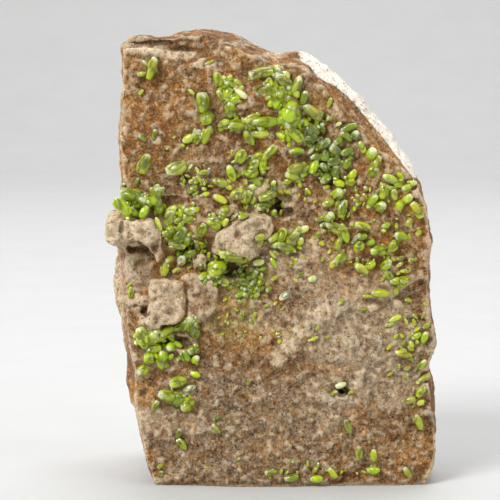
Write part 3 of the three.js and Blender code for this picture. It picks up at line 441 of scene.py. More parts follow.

# Coloured zones of the rock, one of them painted shade: x, height, half width, half height, strength
ZONES = {
    "cream": [
        (-20.8, 38.6, 4.8, 2.8, 2.2), (-15.7, 27.8, 2.9, 3.6, 0.95), (-18, 24, 2.2, 1.6, 0.9),
        (-20.6, 27.4, 3.2, 1.4, 0.8), (-18.6, 65.4, 3.6, 0.7, 1), (-13.8, 64.5, 3, 0.6, 1),
        (-10.2, 63.1, 1.8, 0.5, 1), (-4.4, 37.8, 4.8, 4, 0.8),
        # The long oval at x -24.2 along the left edge is partly pale stone and partly painted rim light
        (3.5, 32.6, 6.5, 5, 0.45), (-24.2, 24, 2.2, 18, 0.7),
        (11.5, 12.7, 1.8, 1.1, 0.7), (-10.3, 33.4, 1.4, 1.4, 0.6), (8.8, 27.2, 2.2, 1.2, 0.85),
        (6.4, 25.4, 1.9, 1.4, 0.85), (4.4, 23.4, 1.8, 1.5, 0.85), (2.6, 21.2, 1.5, 1.5, 0.85),
        (1.1, 19, 1.4, 1.7, 0.65), (13, 24, 9, 8, 0.5), (17, 15, 6, 4, 0.4),
        (-4.5, 66.2, 2.4, 0.5, 0.7), (0.4, 64.4, 2, 0.5, 0.7),
        (8, 12, 4, 5, 0.34), (18.2, 47.2, 1.6, 0.5, 0.5), (-15, 40, 6, 1, 0.2),
        (-19, 9.6, 3.6, 2, 0.7), (-20.5, 5.5, 2, 3, 0.5), (-20.4, 31.8, 2.6, 3.4, 0.7),
        (-23.4, 55, 1.1, 14, 0.4), (-10, 27.6, 3, 3.6, 0.4),
        (-1, 25, 4, 2.6, 0.4), (-13, 9, 4, 1.6, 0.4),
    ],
    "ochre": [
        (-19.8, 13.4, 2.4, 2.4, 0.55), (-12.4, 9.6, 3, 1.2, 0.5), (-16.8, 9, 2, 2, 0.3),
        (-15, 57, 9, 9, 0.24), (13.8, 31, 5.5, 3.4, 0.5), (7.4, 33, 2.6, 5, 0.4),
        (9, 17.4, 5, 0.9, 0.45), (-11.6, 32.4, 1.2, 1.8, 0.5),
        (-14.9, 34.4, 1.6, 1.2, 0.6), (9, 54, 8, 6, 0.3), (18, 48, 4, 6, 0.4),
        (-2, 22, 8, 2.6, 0.35), (12.6, 11, 1.6, 2, 0.4), (22, 2.6, 3.6, 3, 0.5),
        (1, 5.6, 3.4, 3, 0.3), (-16.6, 32, 2, 2, 0.3),
        (0.2, 39.5, 2, 2, 0.4), (-22.6, 53, 1.6, 16, 0.4), (14, 36, 9, 6, 0.22),
    ],
    # Painted shade: darkening in pits and crevices, under the ledges and the overhanging lump, and a
    # painted contact shadow along the foot
    "painted_shade": [
        (-19.8, 35.9, 2, 0.9, 0.5), (-11, 66.4, 8, 1.4, 0.5), (0.4, 42, 1.6, 1.1, 0.8),
        (1.9, 41.1, 1.5, 0.9, 0.7), (-12.8, 35.7, 1.4, 1.4, 0.6),
        (-11.5, 33.8, 1.2, 0.9, 0.6), (-6, 32.2, 2.4, 1.4, 0.5), (-15.2, 43, 3, 0.9, 0.5),
        (-17.8, 66.4, 3.6, 0.5, 1), (-13.4, 65.4, 2.4, 0.4, 0.9), (-18.9, 26.1, 0.9, 0.8, 0.7),
        (11, 13.9, 0.9, 0.8, 0.8), (8.8, 48, 3, 4.2, 0.6), (6.6, 52.8, 1.6, 2, 0.4),
        (-15.2, 21.4, 3.6, 0.9, 0.6), (-12.9, 27.6, 0.35, 2.6, 0.4), (12, 17.6, 1.6, 0.8, 0.4),
        (-6, 12, 1.4, 1, 0.4), (-2, 18, 1.6, 0.8, 0.3), (16, 8, 1.6, 1.2, 0.35),
        (3, -0.4, 24, 1.1, 0.5), (23, 1, 3, 1.8, 0.6), (-18, 1, 2, 2, 0.3),
    ],
    "grey": [
        (-5, 8, 15, 9.5, 1.1), (-19, 19.6, 3.4, 3.2, 0.5), (16, 8, 7, 7, 0.5),
        (-9, 52, 6, 8, 0.3), (8, 50, 5, 5, 0.45), (3, 38, 8, 6, 0.35),
        (13, 20, 12, 13, 0.85), (-12, 43.6, 6, 2.2, 0.45), (-3, 17, 10, 4, 0.4),
        (-15.7, 27.8, 2.9, 3.6, 0.4), (-20.8, 38.6, 4.8, 2.8, 0.3),
    ],
    "green": [
        (-3.8, 30.4, 4.2, 3.4, 1.2), (-5.6, 25, 4.4, 4.4, 0.6), (-12.6, 35.4, 3, 2.2, 0.9),
        (9.4, 48.4, 4, 4.8, 0.3), (-1, 43.6, 4.2, 3, 0.7), (2.4, 36.6, 3.2, 2, 0.4),
        (-20.4, 34.4, 2.2, 2, 0.3), (4, 22.8, 2.6, 1.6, 0.3), (18, 38, 5, 6, 0.12),
        (-14.4, 41, 3.6, 1.6, 0.4), (4, 55, 4, 4, 0.3), (-13.6, 23, 4, 2, 0.35),
        (-3, 47, 4.4, 4.2, 0.2), (10.6, 38, 4, 5, 0.15), (21, 20, 3, 6, 0.2),
    ],
}


def srgb(red, green, blue):
    """A colour of 0 to 255 values as linear RGBA."""
    shares = [channel / 255 for channel in (red, green, blue)]
    linear = [s / 12.92 if s <= 0.04045 else ((s + 0.055) / 1.055) ** 2.4 for s in shares]
    return (*linear, 1.0)


# Meshes as arrays


def vertex_array(mesh, attribute="co"):
    values = np.empty(len(mesh.vertices) * 3, np.float32)
    mesh.vertices.foreach_get(attribute, values)
    return values.reshape(-1, 3).astype(float)


def set_vertices(mesh, places):
    mesh.vertices.foreach_set("co", places.astype(np.float32).ravel())
    mesh.update()


def edge_array(mesh):
    values = np.empty(len(mesh.edges) * 2, np.int32)
    mesh.edges.foreach_get("vertices", values)
    return values.reshape(-1, 2)


def smoothed(values, edges, rounds):
    """Values of the vertices after some rounds of averaging with their neighbours."""
    count = np.bincount(edges.ravel(), minlength=len(values)).astype(float)[:, None]
    for _ in range(rounds):
        total = np.zeros_like(values)
        np.add.at(total, edges[:, 0], values[edges[:, 1]])
        np.add.at(total, edges[:, 1], values[edges[:, 0]])
        values = (values + total / np.maximum(count, 1)) / 2
    return values


def add_float(mesh, name, values):
    attribute = mesh.attributes.new(name, "FLOAT", "POINT")
    attribute.data.foreach_set("value", np.asarray(values, np.float32))


def add_vectors(mesh, name, values):
    attribute = mesh.attributes.new(name, "FLOAT_VECTOR", "POINT")
    attribute.data.foreach_set("vector", np.asarray(values, np.float32).ravel())


def add_colours(mesh, name, values):
    attribute = mesh.attributes.new(name, "FLOAT_COLOR", "POINT")
    attribute.data.foreach_set("color", np.asarray(values, np.float32).ravel())


def zone_share(places, x, height, half_x, half_z):
    """1 in the middle of an oval of the front and 0 beyond its edge."""
    reach = np.hypot((places[:, 0] - x) / half_x, (places[:, 2] - height - DATUM) / half_z)
    return smoothstep(1.6 * (1.25 - reach))


def smoothstep(values):
    t = np.clip(values, 0, 1)
    return t * t * (3 - 2 * t)


def front_share(places):
    """1 near the front and 0 towards the back."""
    return smoothstep((4 - places[:, 1]) / 8)


def facing_share(normals):
    """1 where the rock faces the front and 0 on its sides."""
    least, spread = FACING
    return smoothstep((-normals[:, 1] - least) / spread)


# Material nodes


def new_material(name):
    material = bpy.data.materials.new(name)
    material.use_nodes = True
    tree = material.node_tree
    tree.nodes.clear()
    return material, tree


def node(tree, kind, inputs=(), **settings):
    """A node with its inputs set, or linked where the value is a socket."""
    made = tree.nodes.new(kind)
    for key, value in settings.items():
        setattr(made, key, value)
    for key, value in dict(inputs).items():
        if isinstance(value, bpy.types.NodeSocket):
            tree.links.new(value, made.inputs[key])
        else:
            made.inputs[key].default_value = value
    return made


def calc(tree, operation, a, b=0.0, clamp=False):
    return node(tree, "ShaderNodeMath", {0: a, 1: b}, operation=operation, use_clamp=clamp).outputs[0]


def times(tree, a, b):
    return calc(tree, "MULTIPLY", a, b)


def mix(tree, factor, a, b, mode="MIX"):
    inputs = {0: factor, 6: a, 7: b}
    return node(tree, "ShaderNodeMix", inputs, data_type="RGBA", blend_type=mode).outputs[2]


def tinted(tree, colour, red, green, blue):
    return mix(tree, 1.0, colour, srgb(red, green, blue), "MULTIPLY")


def layered(tree, colour, mask, strength, over):
    """A colour with another over it, as far as a mask says."""
    return mix(tree, times(tree, mask, strength), colour, over)


def ramp(tree, factor, stops):
    made = node(tree, "ShaderNodeValToRGB", {0: factor})
    elements = made.color_ramp.elements
    while len(elements) < len(stops):
        elements.new(0.5)
    for element, (place, colour) in zip(elements, stops):
        element.position = place
        element.color = colour
    return made.outputs[0]


def levels(tree, value, low, high):
    """A value spread from low to high, kept between 0 and 1."""
    inputs = {0: value, 1: low, 2: high, 3: 0.0, 4: 1.0}
    return node(tree, "ShaderNodeMapRange", inputs, clamp=True).outputs[0]


def attribute(tree, name, output="Fac"):
    return node(tree, "ShaderNodeAttribute", attribute_name=name).outputs[output]


def object_millimetres(tree):
    coordinates = node(tree, "ShaderNodeTexCoord").outputs["Object"]
    return node(tree, "ShaderNodeMapping", {"Vector": coordinates, "Scale": [1 / MM] * 3}).outputs[0]


def noise_value(tree, vector, scale, detail, roughness):
    inputs = {"Vector": vector, "Scale": scale, "Detail": detail, "Roughness": roughness}
    return node(tree, "ShaderNodeTexNoise", inputs).outputs[0]


def patches(tree, vector, scale, detail, roughness, low, high):
    """Soft patches: a noise spread from low to high."""
    return levels(tree, noise_value(tree, vector, scale, detail, roughness), low, high)


def voronoi(tree, vector, scale):
    return node(tree, "ShaderNodeTexVoronoi", {"Vector": vector, "Scale": scale})


def voronoi_pick(tree, cells, channel):
    """A value of its own for each cell."""
    return node(tree, "ShaderNodeSeparateColor", {0: cells.outputs["Color"]}).outputs[channel]


def bump(tree, height, distance, strength):
    inputs = {"Strength": strength, "Distance": distance * MM, "Height": height}
    return node(tree, "ShaderNodeBump", inputs).outputs[0]


def output(tree, shader):
    node(tree, "ShaderNodeOutputMaterial", {0: shader})


# Sandstone

GRAIN_COLOURS = [
    (0.0, srgb(74, 58, 48)),
    (0.16, srgb(118, 96, 68)),
    (0.34, srgb(158, 130, 86)),
    (0.5, srgb(188, 156, 104)),
    (0.66, srgb(182, 162, 130)),
    (0.82, srgb(213, 191, 147)),
    (1.0, srgb(242, 228, 196)),
]


def sandstone_material():
    material, tree = new_material("sandstone")
    place = object_millimetres(tree)
    inputs = {0: place, 1: (40.0, 15.0, 70.0)}
    shifted = node(tree, "ShaderNodeVectorMath", inputs, operation="ADD").outputs[0]
    warp = node(tree, "ShaderNodeTexNoise", {"Vector": place, "Scale": 1.7, "Detail": 2.0}).outputs[1]
    bent = mix(tree, 0.25, place, warp, "ADD")

    coarse, fine = voronoi(tree, bent, 2.3), voronoi(tree, bent, 4.6)
    coarse_pick, fine_pick = voronoi_pick(tree, coarse, 0), voronoi_pick(tree, fine, 1)
    pick = calc(tree, "ADD", times(tree, coarse_pick, 0.45), times(tree, fine_pick, 0.55))
    speckle = calc(tree, "SUBTRACT", noise_value(tree, place, 3.2, 3.0, 0.7), 0.5)
    pick = calc(tree, "ADD", pick, times(tree, speckle, 0.9), True)
    grains = ramp(tree, pick, GRAIN_COLOURS)
    golden = patches(tree, shifted, 0.9, 5.0, 0.74, 0.48, 0.64)
    grains = mix(tree, golden, grains, tinted(tree, grains, 268, 230, 154))
    ashen = patches(tree, place, 0.7, 5.0, 0.74, 0.5, 0.64)
    grains = mix(tree, ashen, grains, tinted(tree, grains, 208, 204, 214))

    warm, cool = tinted(tree, grains, 238, 210, 168), tinted(tree, grains, 226, 216, 200)
    colour = mix(tree, patches(tree, place, 0.16, 4.0, 0.6, 0.35, 0.65), warm, cool)
    tone = ramp(tree, noise_value(tree, place, 0.55, 5.0, 0.66), [
        (0.32, srgb(172, 156, 144)), (0.44, srgb(224, 212, 198)), (0.56, srgb(250, 244, 234)),
        (0.68, srgb(255, 255, 255)),
    ])
    colour = mix(tree, 1.0, colour, tone, "MULTIPLY")
    broad = ramp(tree, noise_value(tree, shifted, 0.24, 3.0, 0.6), [
        (0.36, srgb(206, 198, 194)), (0.5, srgb(240, 236, 232)), (0.64, srgb(255, 255, 250)),
    ])
    colour = mix(tree, 1.0, colour, broad, "MULTIPLY")
    stain = patches(tree, shifted, 0.5, 4.0, 0.68, 0.5, 0.62)
    colour = layered(tree, colour, stain, 0.7, tinted(tree, colour, 255, 214, 146))
    bleach = patches(tree, shifted, 0.8, 4.0, 0.7, 0.55, 0.68)
    colour = layered(tree, colour, bleach, 0.5, srgb(228, 212, 180))

    unevenness = calc(tree, "SUBTRACT", noise_value(tree, place, 0.55, 6.0, 0.72), 0.5)
    breakup = calc(tree, "ADD", 1.0, times(tree, unevenness, 4.0))

    def zone(colour, name, strength, over, low=0.08, high=0.85):
        """A zone's colour over another, with a broken edge."""
        value = calc(tree, "MULTIPLY", attribute(tree, name), breakup, True)
        return layered(tree, colour, levels(tree, value, low, high), strength, over)

    mottle = ramp(tree, noise_value(tree, shifted, 1.2, 6.0, 0.74), [
        (0.36, srgb(138, 124, 120)), (0.44, srgb(196, 168, 126)), (0.5, srgb(216, 198, 172)),
        (0.56, srgb(240, 224, 196)), (0.64, srgb(252, 246, 234)),
    ])
    ochre = mix(tree, 0.35, tinted(tree, grains, 255, 212, 142), srgb(202, 150, 82))
    colour = zone(colour, "grey", 0.85, tinted(tree, grains, 198, 198, 212))
    colour = zone(colour, "ochre", 0.62, ochre)
    colour = zone(colour, "cream", 0.78, mix(tree, 0.62, grains, mottle))
    # Rim at the upper right painted whitish: partly pale broken stone, partly painted rim light
    colour = zone(colour, "white", 0.95, mix(tree, 0.88, grains, srgb(255, 249, 238)), 0.2, 0.7)
    colour = zone(colour, "green", 0.6, mix(tree, 0.55, grains, srgb(132, 142, 58)), 0.05, 0.9)
    # Painted shade in pits, crevices, under ledges and along the foot
    colour = zone(colour, "painted_shade", 0.8, tinted(tree, grains, 112, 92, 74))

    # Convex edges painted paler: partly pale broken stone, partly a painted highlight
    edge = levels(tree, attribute(tree, "edge"), 0.1, 0.65)
    colour = layered(tree, colour, edge, 0.65, mix(tree, 0.6, grains, srgb(244, 226, 196)))
    # Painted shade: concave places darkened towards deep brown
    hollow = levels(tree, attribute(tree, "hollow"), 0.1, 0.9)
    colour = layered(tree, colour, hollow, 0.6, mix(tree, 0.7, grains, srgb(58, 42, 30)))
    whole = patches(tree, place, 2.4, 2.0, 0.6, 0.30, 0.42)
    colour = mix(tree, whole, tinted(tree, colour, 146, 128, 114), colour)

    rounded = calc(tree, "SUBTRACT", 1.0, coarse.outputs["Distance"])
    small = calc(tree, "SUBTRACT", 1.0, fine.outputs["Distance"])
    height = calc(tree, "ADD", times(tree, rounded, 0.6), times(tree, small, 0.4))
    height = calc(tree, "ADD", height, times(tree, noise_value(tree, place, 1.3, 5.0, 0.7), 0.9))
    shader = node(tree, "ShaderNodeBsdfPrincipled", {
        "Base Color": colour, "Roughness": levels(tree, fine_pick, -2.2, 1.1),
        "Specular IOR Level": 0.4, "Normal": bump(tree, height, 0.14, 0.8),
    })
    output(tree, shader.outputs[0])
    return material


# Crystal


def crystal_material():
    material, tree = new_material("pyromorphite")
    tint = attribute(tree, "tint", "Color")
    local = attribute(tree, "local", "Vector")
    clear = patches(tree, local, 1.1, 3.0, 0.6, 0.35, 0.7)
    colour = mix(tree, clear, tinted(tree, tint, 218, 226, 150), tint)
    # Painted highlight: the end that points towards the upper-left key light is whitened
    patchy = noise_value(tree, local, 1.6, 3.0, 0.6)
    tip_highlight = levels(tree, calc(tree, "ADD", attribute(tree, "along"), patchy), 1.05, 1.55)
    colour = layered(tree, colour, tip_highlight, 0.7, srgb(240, 244, 206))
    inner = calc(tree, "SUBTRACT", 0.8, times(tree, tip_highlight, 0.7))

    frost = patches(tree, local, 2.6, 3.0, 0.7, 0.48, 0.72)
    roughness = calc(tree, "ADD", 0.12, times(tree, frost, 0.2))
    stretched = node(tree, "ShaderNodeMapping", {"Vector": local, "Scale": (6.0, 1.2, 1.2)}).outputs[0]
    steps = noise_value(tree, stretched, 1.0, 3.0, 0.6)
    height = calc(tree, "ADD", steps, times(tree, noise_value(tree, local, 3.4, 3.0, 0.6), 0.6))
    shader = node(tree, "ShaderNodeBsdfPrincipled", {
        "Base Color": colour, "Roughness": roughness, "IOR": 1.6,
        "Normal": bump(tree, height, 0.05, 0.9), "Transmission Weight": 0.06,
        "Subsurface Weight": inner, "Subsurface Radius": (0.9, 1.0, 0.5),
        "Subsurface Scale": 1.5 * MM, "Specular IOR Level": 0.4, "Coat Weight": 0.5,
        "Coat Roughness": 0.04,
    })
    output(tree, shader.outputs[0])
    return material


# Rock mesh


def tree_of(mesh_objects):
    places, faces = [], []
    for item in mesh_objects:
        start = len(places)
        places.extend(v.co / MM for v in item.data.vertices)
        faces.extend([start + i for i in polygon.vertices] for polygon in item.data.polygons)
    return BVHTree.FromPolygons(places, faces)


def array_tree(places, mesh):
    return BVHTree.FromPolygons(places.tolist(), [list(p.vertices) for p in mesh.polygons])


def front_point(tree, x, z):
    """Where a line along +Y through a place in the front view meets a tree, or None."""
    return tree.ray_cast(Vector((x, -40, z)), Vector((0, 1, 0)))[0]


def remeshed_rock():
    """The rock's solid as an even, softened mesh in millimetres."""
    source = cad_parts["matrix"]
    mesh = source.data.copy()
    mesh.transform(Matrix.Scale(1 / MM, 4))
    rock = bpy.data.objects.new("sandstone_slab", mesh)
    bpy.context.scene.collection.objects.link(rock)
    remesh = rock.modifiers.new("even", "REMESH")
    remesh.mode = "VOXEL"
    remesh.voxel_size = ROCK_VOXEL
    evaluated = rock.evaluated_get(bpy.context.evaluated_depsgraph_get())
    even = bpy.data.meshes.new_from_object(evaluated)
    rock.modifiers.clear()
    rock.data = even
    return rock


def level_bumps(places, tree, crystal_tree):
    """Takes off the fused crystals, which get finer meshes of their own."""
    for row in all_rows():
        x, height, length, width, turn = row[:5]
        z = height + DATUM
        if front_point(crystal_tree, x, z):
            continue
        cosine, sine = math.cos(math.radians(turn)), math.sin(math.radians(turn))
        reach = np.array([length / 2 + RING_MARGIN, width / 2 + RING_MARGIN])
        ring = []
        for step in range(RING_POINTS):
            angle = math.tau * step / RING_POINTS
            a, c = reach * (math.cos(angle), math.sin(angle))
            point = front_point(tree, x + a * cosine - c * sine, z + a * sine + c * cosine)
            if point is not None:
                ring.append(point)
        if len(ring) < RING_LEAST:
            continue
        ring = np.array(ring)
        table = np.column_stack([np.ones(len(ring)), ring[:, 0] - x, ring[:, 2] - z])
        plane = np.linalg.lstsq(table, ring[:, 1], rcond=None)[0]
        dx, dz = places[:, 0] - x, places[:, 2] - z
        a = (dx * cosine + dz * sine) / (reach[0] - RING_INSET)
        c = (-dx * sine + dz * cosine) / (reach[1] - RING_INSET)
        level = plane[0] + plane[1] * dx + plane[2] * dz
        inside = (a * a + c * c < 1) & (places[:, 1] < level) & (places[:, 1] > level - LEVELLED_DEPTH)
        places[inside, 1] = level[inside]
    return places


def all_rows():
    return [row for rows in CRYSTALS.values() for row in rows]


def wave_noise(places, waves, seed):
    shift = Vector((seed, 2 * seed, 3 * seed))
    total = np.zeros(len(places))
    for size, height in waves:
        total += height * np.array([noise.fractal((Vector(p) + shift) / size, 0.8, 2.1, 2) for p in places])
    return total


def grain_relief(places):
    """Rounded grains, each a cell of a Voronoi pattern."""
    return np.array([0.5 - noise.voronoi(Vector(p) / GRAIN_SIZE)[0][0] for p in places])


def thin_out_back(rock):
    """Takes triangles from the back and sides, so that the front keeps its fine mesh."""
    mesh = rock.data
    normals = vertex_array(mesh, "normal")
    places = vertex_array(mesh)
    back = smoothstep((normals[:, 1] + 0.3) / 0.6) * smoothstep((places[:, 1] + 9) / 6)
    group = rock.vertex_groups.new(name="back")
    for index, weight in enumerate(back):
        group.add([index], float(weight), "REPLACE")
    decimate = rock.modifiers.new("thin", "DECIMATE")
    decimate.vertex_group = "back"
    decimate.ratio = min(1.0, ROCK_TRIANGLES / sum(len(p.vertices) - 2 for p in mesh.polygons))
    decimate.use_collapse_triangulate = True
    evaluated = rock.evaluated_get(bpy.context.evaluated_depsgraph_get())
    thinned = bpy.data.meshes.new_from_object(evaluated)
    rock.modifiers.clear()
    rock.vertex_groups.clear()
    rock.data = thinned


def zone_mask(places, zones):
    mask = np.zeros(len(places))
    for x, height, half_x, half_z, strength in zones:
        mask = np.maximum(mask, strength * zone_share(places, x, height, half_x, half_z))
    return mask * front_share(places)


def green_halo(places):
    """How near each vertex of the front is to a crystal."""
    halo = np.zeros(len(places))
    for x, height, length, width in (row[:4] for row in all_rows()):
        reach = (length + width) / 4 + HALO_REACH
        halo = np.maximum(halo, zone_share(places, x, height, reach, reach))
    return halo * front_share(places)


def build_rock():
    crystal_nodes = [o for name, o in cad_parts.items() if name.startswith("crystals_")]
    rock = remeshed_rock()
    mesh = rock.data
    edges = edge_array(mesh)
    places = vertex_array(mesh)
    places = level_bumps(places, array_tree(places, mesh), tree_of(crystal_nodes))
    places = smoothed(places, edges, ROCK_SMOOTHING)
    for zone in FADED_STEPS:
        share = zone_share(places, *zone)[:, None] * (places[:, 1:2] < 0)
        places += share * (smoothed(places, edges, FADED_ROUNDS) - places)
    set_vertices(mesh, places)
    facing = facing_share(vertex_array(mesh, "normal"))
    for x, height, half_x, half_z, depth in HOLLOWS:
        places[:, 1] += depth * facing * zone_share(places, x, height, half_x, half_z)
    set_vertices(mesh, places)
    seat_tree = array_tree(places, mesh)

    normals = vertex_array(mesh, "normal")
    facing = facing_share(normals)
    lift = facing * wave_noise(places, FRONT_WAVES, 3.0)
    lift += (1 - facing) * wave_noise(places, SIDE_WAVES, 9.0)
    lift += GRAIN_HEIGHT * (0.5 + 0.5 * facing) * grain_relief(places)
    lift *= 1 + BLOCK_ROUGHNESS * np.clip(zone_mask(places, ZONES["cream"]), 0, 1)
    foot = smoothstep(places[:, 2] / FOOT_HEIGHT)
    rough = places + normals * (lift * foot)[:, None]
    low, high = [np.array(corner) / MM for corner in cad_box]
    rough = np.clip(rough, low, high)
    rough[places[:, 2] < FLAT_FOOT, 2] = 0.0
    set_vertices(mesh, rough)

    broad = smoothed(rough, edges, BROAD_ROUNDS)
    bulge = ((rough - broad) * normals).sum(1)
    # Convex places, which the stone paints paler: partly pale broken stone, partly a painted highlight
    add_float(mesh, "edge", np.clip(bulge / EDGE_RELIEF, 0, 1))
    # Concave places, which the stone darkens as painted shade
    add_float(mesh, "hollow", np.clip(-bulge / HOLLOW_RELIEF, 0, 1))
    masks = {name: zone_mask(rough, zones) for name, zones in ZONES.items()}
    masks["green"] = np.maximum(masks["green"], HALO_STRENGTH * green_halo(rough))
    for name, mask in masks.items():
        add_float(mesh, name, mask)
    # Rim at the upper right: partly pale broken stone, partly painted rim light
    edge_x, edge_height = zip(*RIM_EDGE)
    inner = np.interp(rough[:, 0], edge_x, edge_height) + DATUM
    rim = smoothstep((rough[:, 2] - inner) / 0.7 + 0.5) * smoothstep((rough[:, 0] - edge_x[0]) / 2)
    rim *= smoothstep((6 - rough[:, 1]) / 12)
    add_float(mesh, "white", rim)
    thin_out_back(rock)
    mesh = rock.data
    set_vertices(mesh, np.clip(vertex_array(mesh), low, high))
    mesh.transform(Matrix.Scale(MM, 4))
    for polygon in mesh.polygons:
        polygon.use_smooth = True
    return rock, seat_tree


# Crystal meshes

def barrel(chance, length, width, form, highlit_end):
    """Places of a six-sided barrel along +X, how near each is to the end with the painted highlight, and
    its faces.
    """
    sides, stations = form
    roundness = chance.uniform(*ROUNDNESS)
    bulge = chance.uniform(*BULGE)
    ends = {-1: chance.uniform(*END_WIDTH), 1: chance.uniform(*END_WIDTH)}
    wobble = [chance.uniform(-WOBBLE, WOBBLE) for _ in range(3)]
    roll = chance.uniform(0, math.tau)
    places, along = [], []
    for station in stations:
        end = ends[1 if station > 0 else -1]
        share = end + (1 - end) * (1 - abs(station) ** bulge)
        if abs(station) == 1:
            share = END_BEVEL * end
        for step in range(sides):
            angle = math.tau * step / sides
            flat = math.cos(math.pi / 6) / math.cos(angle % (math.pi / 3) - math.pi / 6)
            radius = width / 2 * share * (roundness + (1 - roundness) * flat)
            radius *= 1 + wobble[0] * math.sin(angle + 4 * station) + wobble[1] * math.cos(2 * angle + roll)
            places.append((
                length / 2 * station,
                radius * math.cos(angle + roll) + wobble[2] * width * (1 - station * station),
                radius * math.sin(angle + roll),
            ))
            along.append(highlit_end * station)
    faces = []
    for ring in range(len(stations) - 1):
        for step in range(sides):
            a, b = ring * sides + step, ring * sides + (step + 1) % sides
            faces.append((a, b, b + sides, a + sides))
    last = (len(stations) - 1) * sides
    for start, station in ((0, -1), (last, 1)):
        centre = len(places)
        places.append((length / 2 * station * END_DIP, 0, 0))
        along.append(highlit_end * station)
        for step in range(sides):
            a, b = start + step, start + (step + 1) % sides
            faces.append((b, a, centre) if station < 0 else (a, b, centre))
    return np.array(places), np.array(along), faces


def seat_of(tree, x, z, length, width, turn):
    """Middle of a crystal's seat, its axes there, and how far the rock under it rises."""
    along = Vector((math.cos(turn), 0, math.sin(turn)))
    across = Vector((-math.sin(turn), 0, math.cos(turn)))

    def sample(a, c):
        reach = along * (SEAT_SHARE * a * length) + across * (SEAT_SHARE * c * width)
        found = front_point(tree, x + reach.x, z + reach.z)
        return found or front_point(tree, x, z) or Vector((x, CAMERA_TARGET.y, z))

    middle = sample(0, 0)
    axis = sample(1, 0) - sample(-1, 0)
    cross = sample(0, 1) - sample(0, -1)
    normal = axis.cross(cross)
    if normal.length == 0 or normal.y > 0:
        normal = Vector((0, -1, 0)) if normal.length == 0 else -normal
    normal = (normal.normalized() + Vector((0, -LEVELLING, 0))).normalized()
    axis = (axis - normal * axis.dot(normal)).normalized() if axis.length else along
    rise = max((sample(a, c) - middle).dot(normal) for a in (-1, 0, 1) for c in (-1, 0, 1))
    return middle, axis, normal, rise


class Gathered:
    """Crystals gathered into one mesh."""

    def __init__(self, seed):
        self.chance = random.Random(seed)
        self.places, self.faces, self.along, self.local, self.tints = [], [], [], [], []
        self.smooth = []
        self.count = 0

    def add(self, matrix, length, width, shade):
        form = BIG_FORM if width >= BIG_LEAST_WIDTH else SMALL_FORM
        # The end that points towards the upper-left key light takes the painted highlight
        highlit_end = 1 if matrix.col[0].xyz.dot(HIGHLIGHT_SIDE) > 0 else -1
        points, along, faces = barrel(self.chance, length, width, form, highlit_end)
        turned = points @ np.array(matrix.to_3x3()).T + np.array(matrix.translation)
        base = np.array(srgb(*SHADES[shade]))
        jitter = np.array([self.chance.uniform(0.93, 1.07) for _ in range(3)] + [1.0])
        base = np.clip(base * self.chance.uniform(0.88, 1.12) * jitter, 0, 1)
        base[3] = 1.0
        offset = np.array([self.chance.uniform(0, 90) for _ in range(3)])
        self.faces.extend([self.count + i for i in face] for face in faces)
        self.smooth.extend([form is BIG_FORM] * len(faces))
        self.places.append(turned)
        self.along.append(along)
        self.local.append(points + offset)
        self.tints.append(np.tile(base, (len(points), 1)))
        self.count += len(points)

    def build(self, name, material):
        mesh = bpy.data.meshes.new(name)
        places = np.concatenate(self.places) * MM
        low, high = [np.array(corner) for corner in cad_box]
        places = np.clip(places, low, high)
        mesh.from_pydata(places.tolist(), [], self.faces)
        add_float(mesh, "along", np.concatenate(self.along))
        add_vectors(mesh, "local", np.concatenate(self.local))
        add_colours(mesh, "tint", np.concatenate(self.tints))
        for polygon, smooth in zip(mesh.polygons, self.smooth):
            polygon.use_smooth = smooth
        mesh.materials.append(material)
        made = bpy.data.objects.new(name, mesh)
        bpy.context.scene.collection.objects.link(made)
        return made


def whole_row(row):
    """A row with its shade and lift, also where it leaves them out."""
    return row + (USUAL_SHADE, 0.0)[len(row) - 6:]


def seated(gathered, tree, row):
    """Adds one crystal on the rock and says how it is placed."""
    x, height, length, width, turn, lean, shade, lift = row
    sign = 1 if math.sin(7 * x + 3 * height) > 0 else -1
    lean_angle = math.radians(lean) * sign
    middle, axis, normal, rise = seat_of(tree, x, height + DATUM, length, width, math.radians(turn))
    basis = Matrix((axis, normal, axis.cross(normal))).transposed().to_4x4()
    lean_lift = LEAN_LIFT * length * abs(math.sin(lean_angle))
    centre = middle + normal * (RISE_SHARE * rise + CENTRE_LIFT * width + lean_lift + lift)
    matrix = Matrix.Translation(centre) @ basis @ Matrix.Rotation(lean_angle, 4, "Z")
    gathered.add(matrix, length, width, shade)
    return matrix


def on_rock(tree, x, height, length):
    """Whether the rock lies behind a place of the front and the places round it."""
    offsets = ((0, 0), (1, 0), (-1, 0), (0, 1), (0, -1))
    return all(front_point(tree, x + a * length, height + DATUM + c * length) for a, c in offsets)


def add_companion(gathered, matrix, length, width, shade, kind):
    """A crystal that grows from a larger one, nearly parallel to it."""
    chance = gathered.chance
    sizes, spread, swing, _ = kind
    size = chance.uniform(*sizes)
    angle = chance.uniform(0.1, math.pi - 0.1)
    place = Vector((
        chance.uniform(-0.4, 0.4) * (1.3 - size) * length,
        spread * width * math.sin(angle),
        spread * width * math.cos(angle),
    ))
    turn = Matrix.Rotation(chance.uniform(-swing, swing), 4, "Y")
    turn = turn @ Matrix.Rotation(chance.uniform(-swing, swing), 4, "Z")
    gathered.add(matrix @ Matrix.Translation(place) @ turn, size * length, size * width, shade)


def add_companions(gathered, matrix, length, width, shade):
    """Parallel growths that groove a large crystal and step its ends, and small ones on it."""
    chance = gathered.chance
    grooves = chance.choice((1, 2, 3)) if width >= GROOVES[-1] else chance.choice((0, 1))
    for _ in range(grooves):
        add_companion(gathered, matrix, length, width, shade, GROOVES)
    sprouts = chance.choice((0, 1, 2)) if width >= SPROUTS[-1] else 0
    for _ in range(sprouts):
        add_companion(gathered, matrix, length, width, shade, SPROUTS)


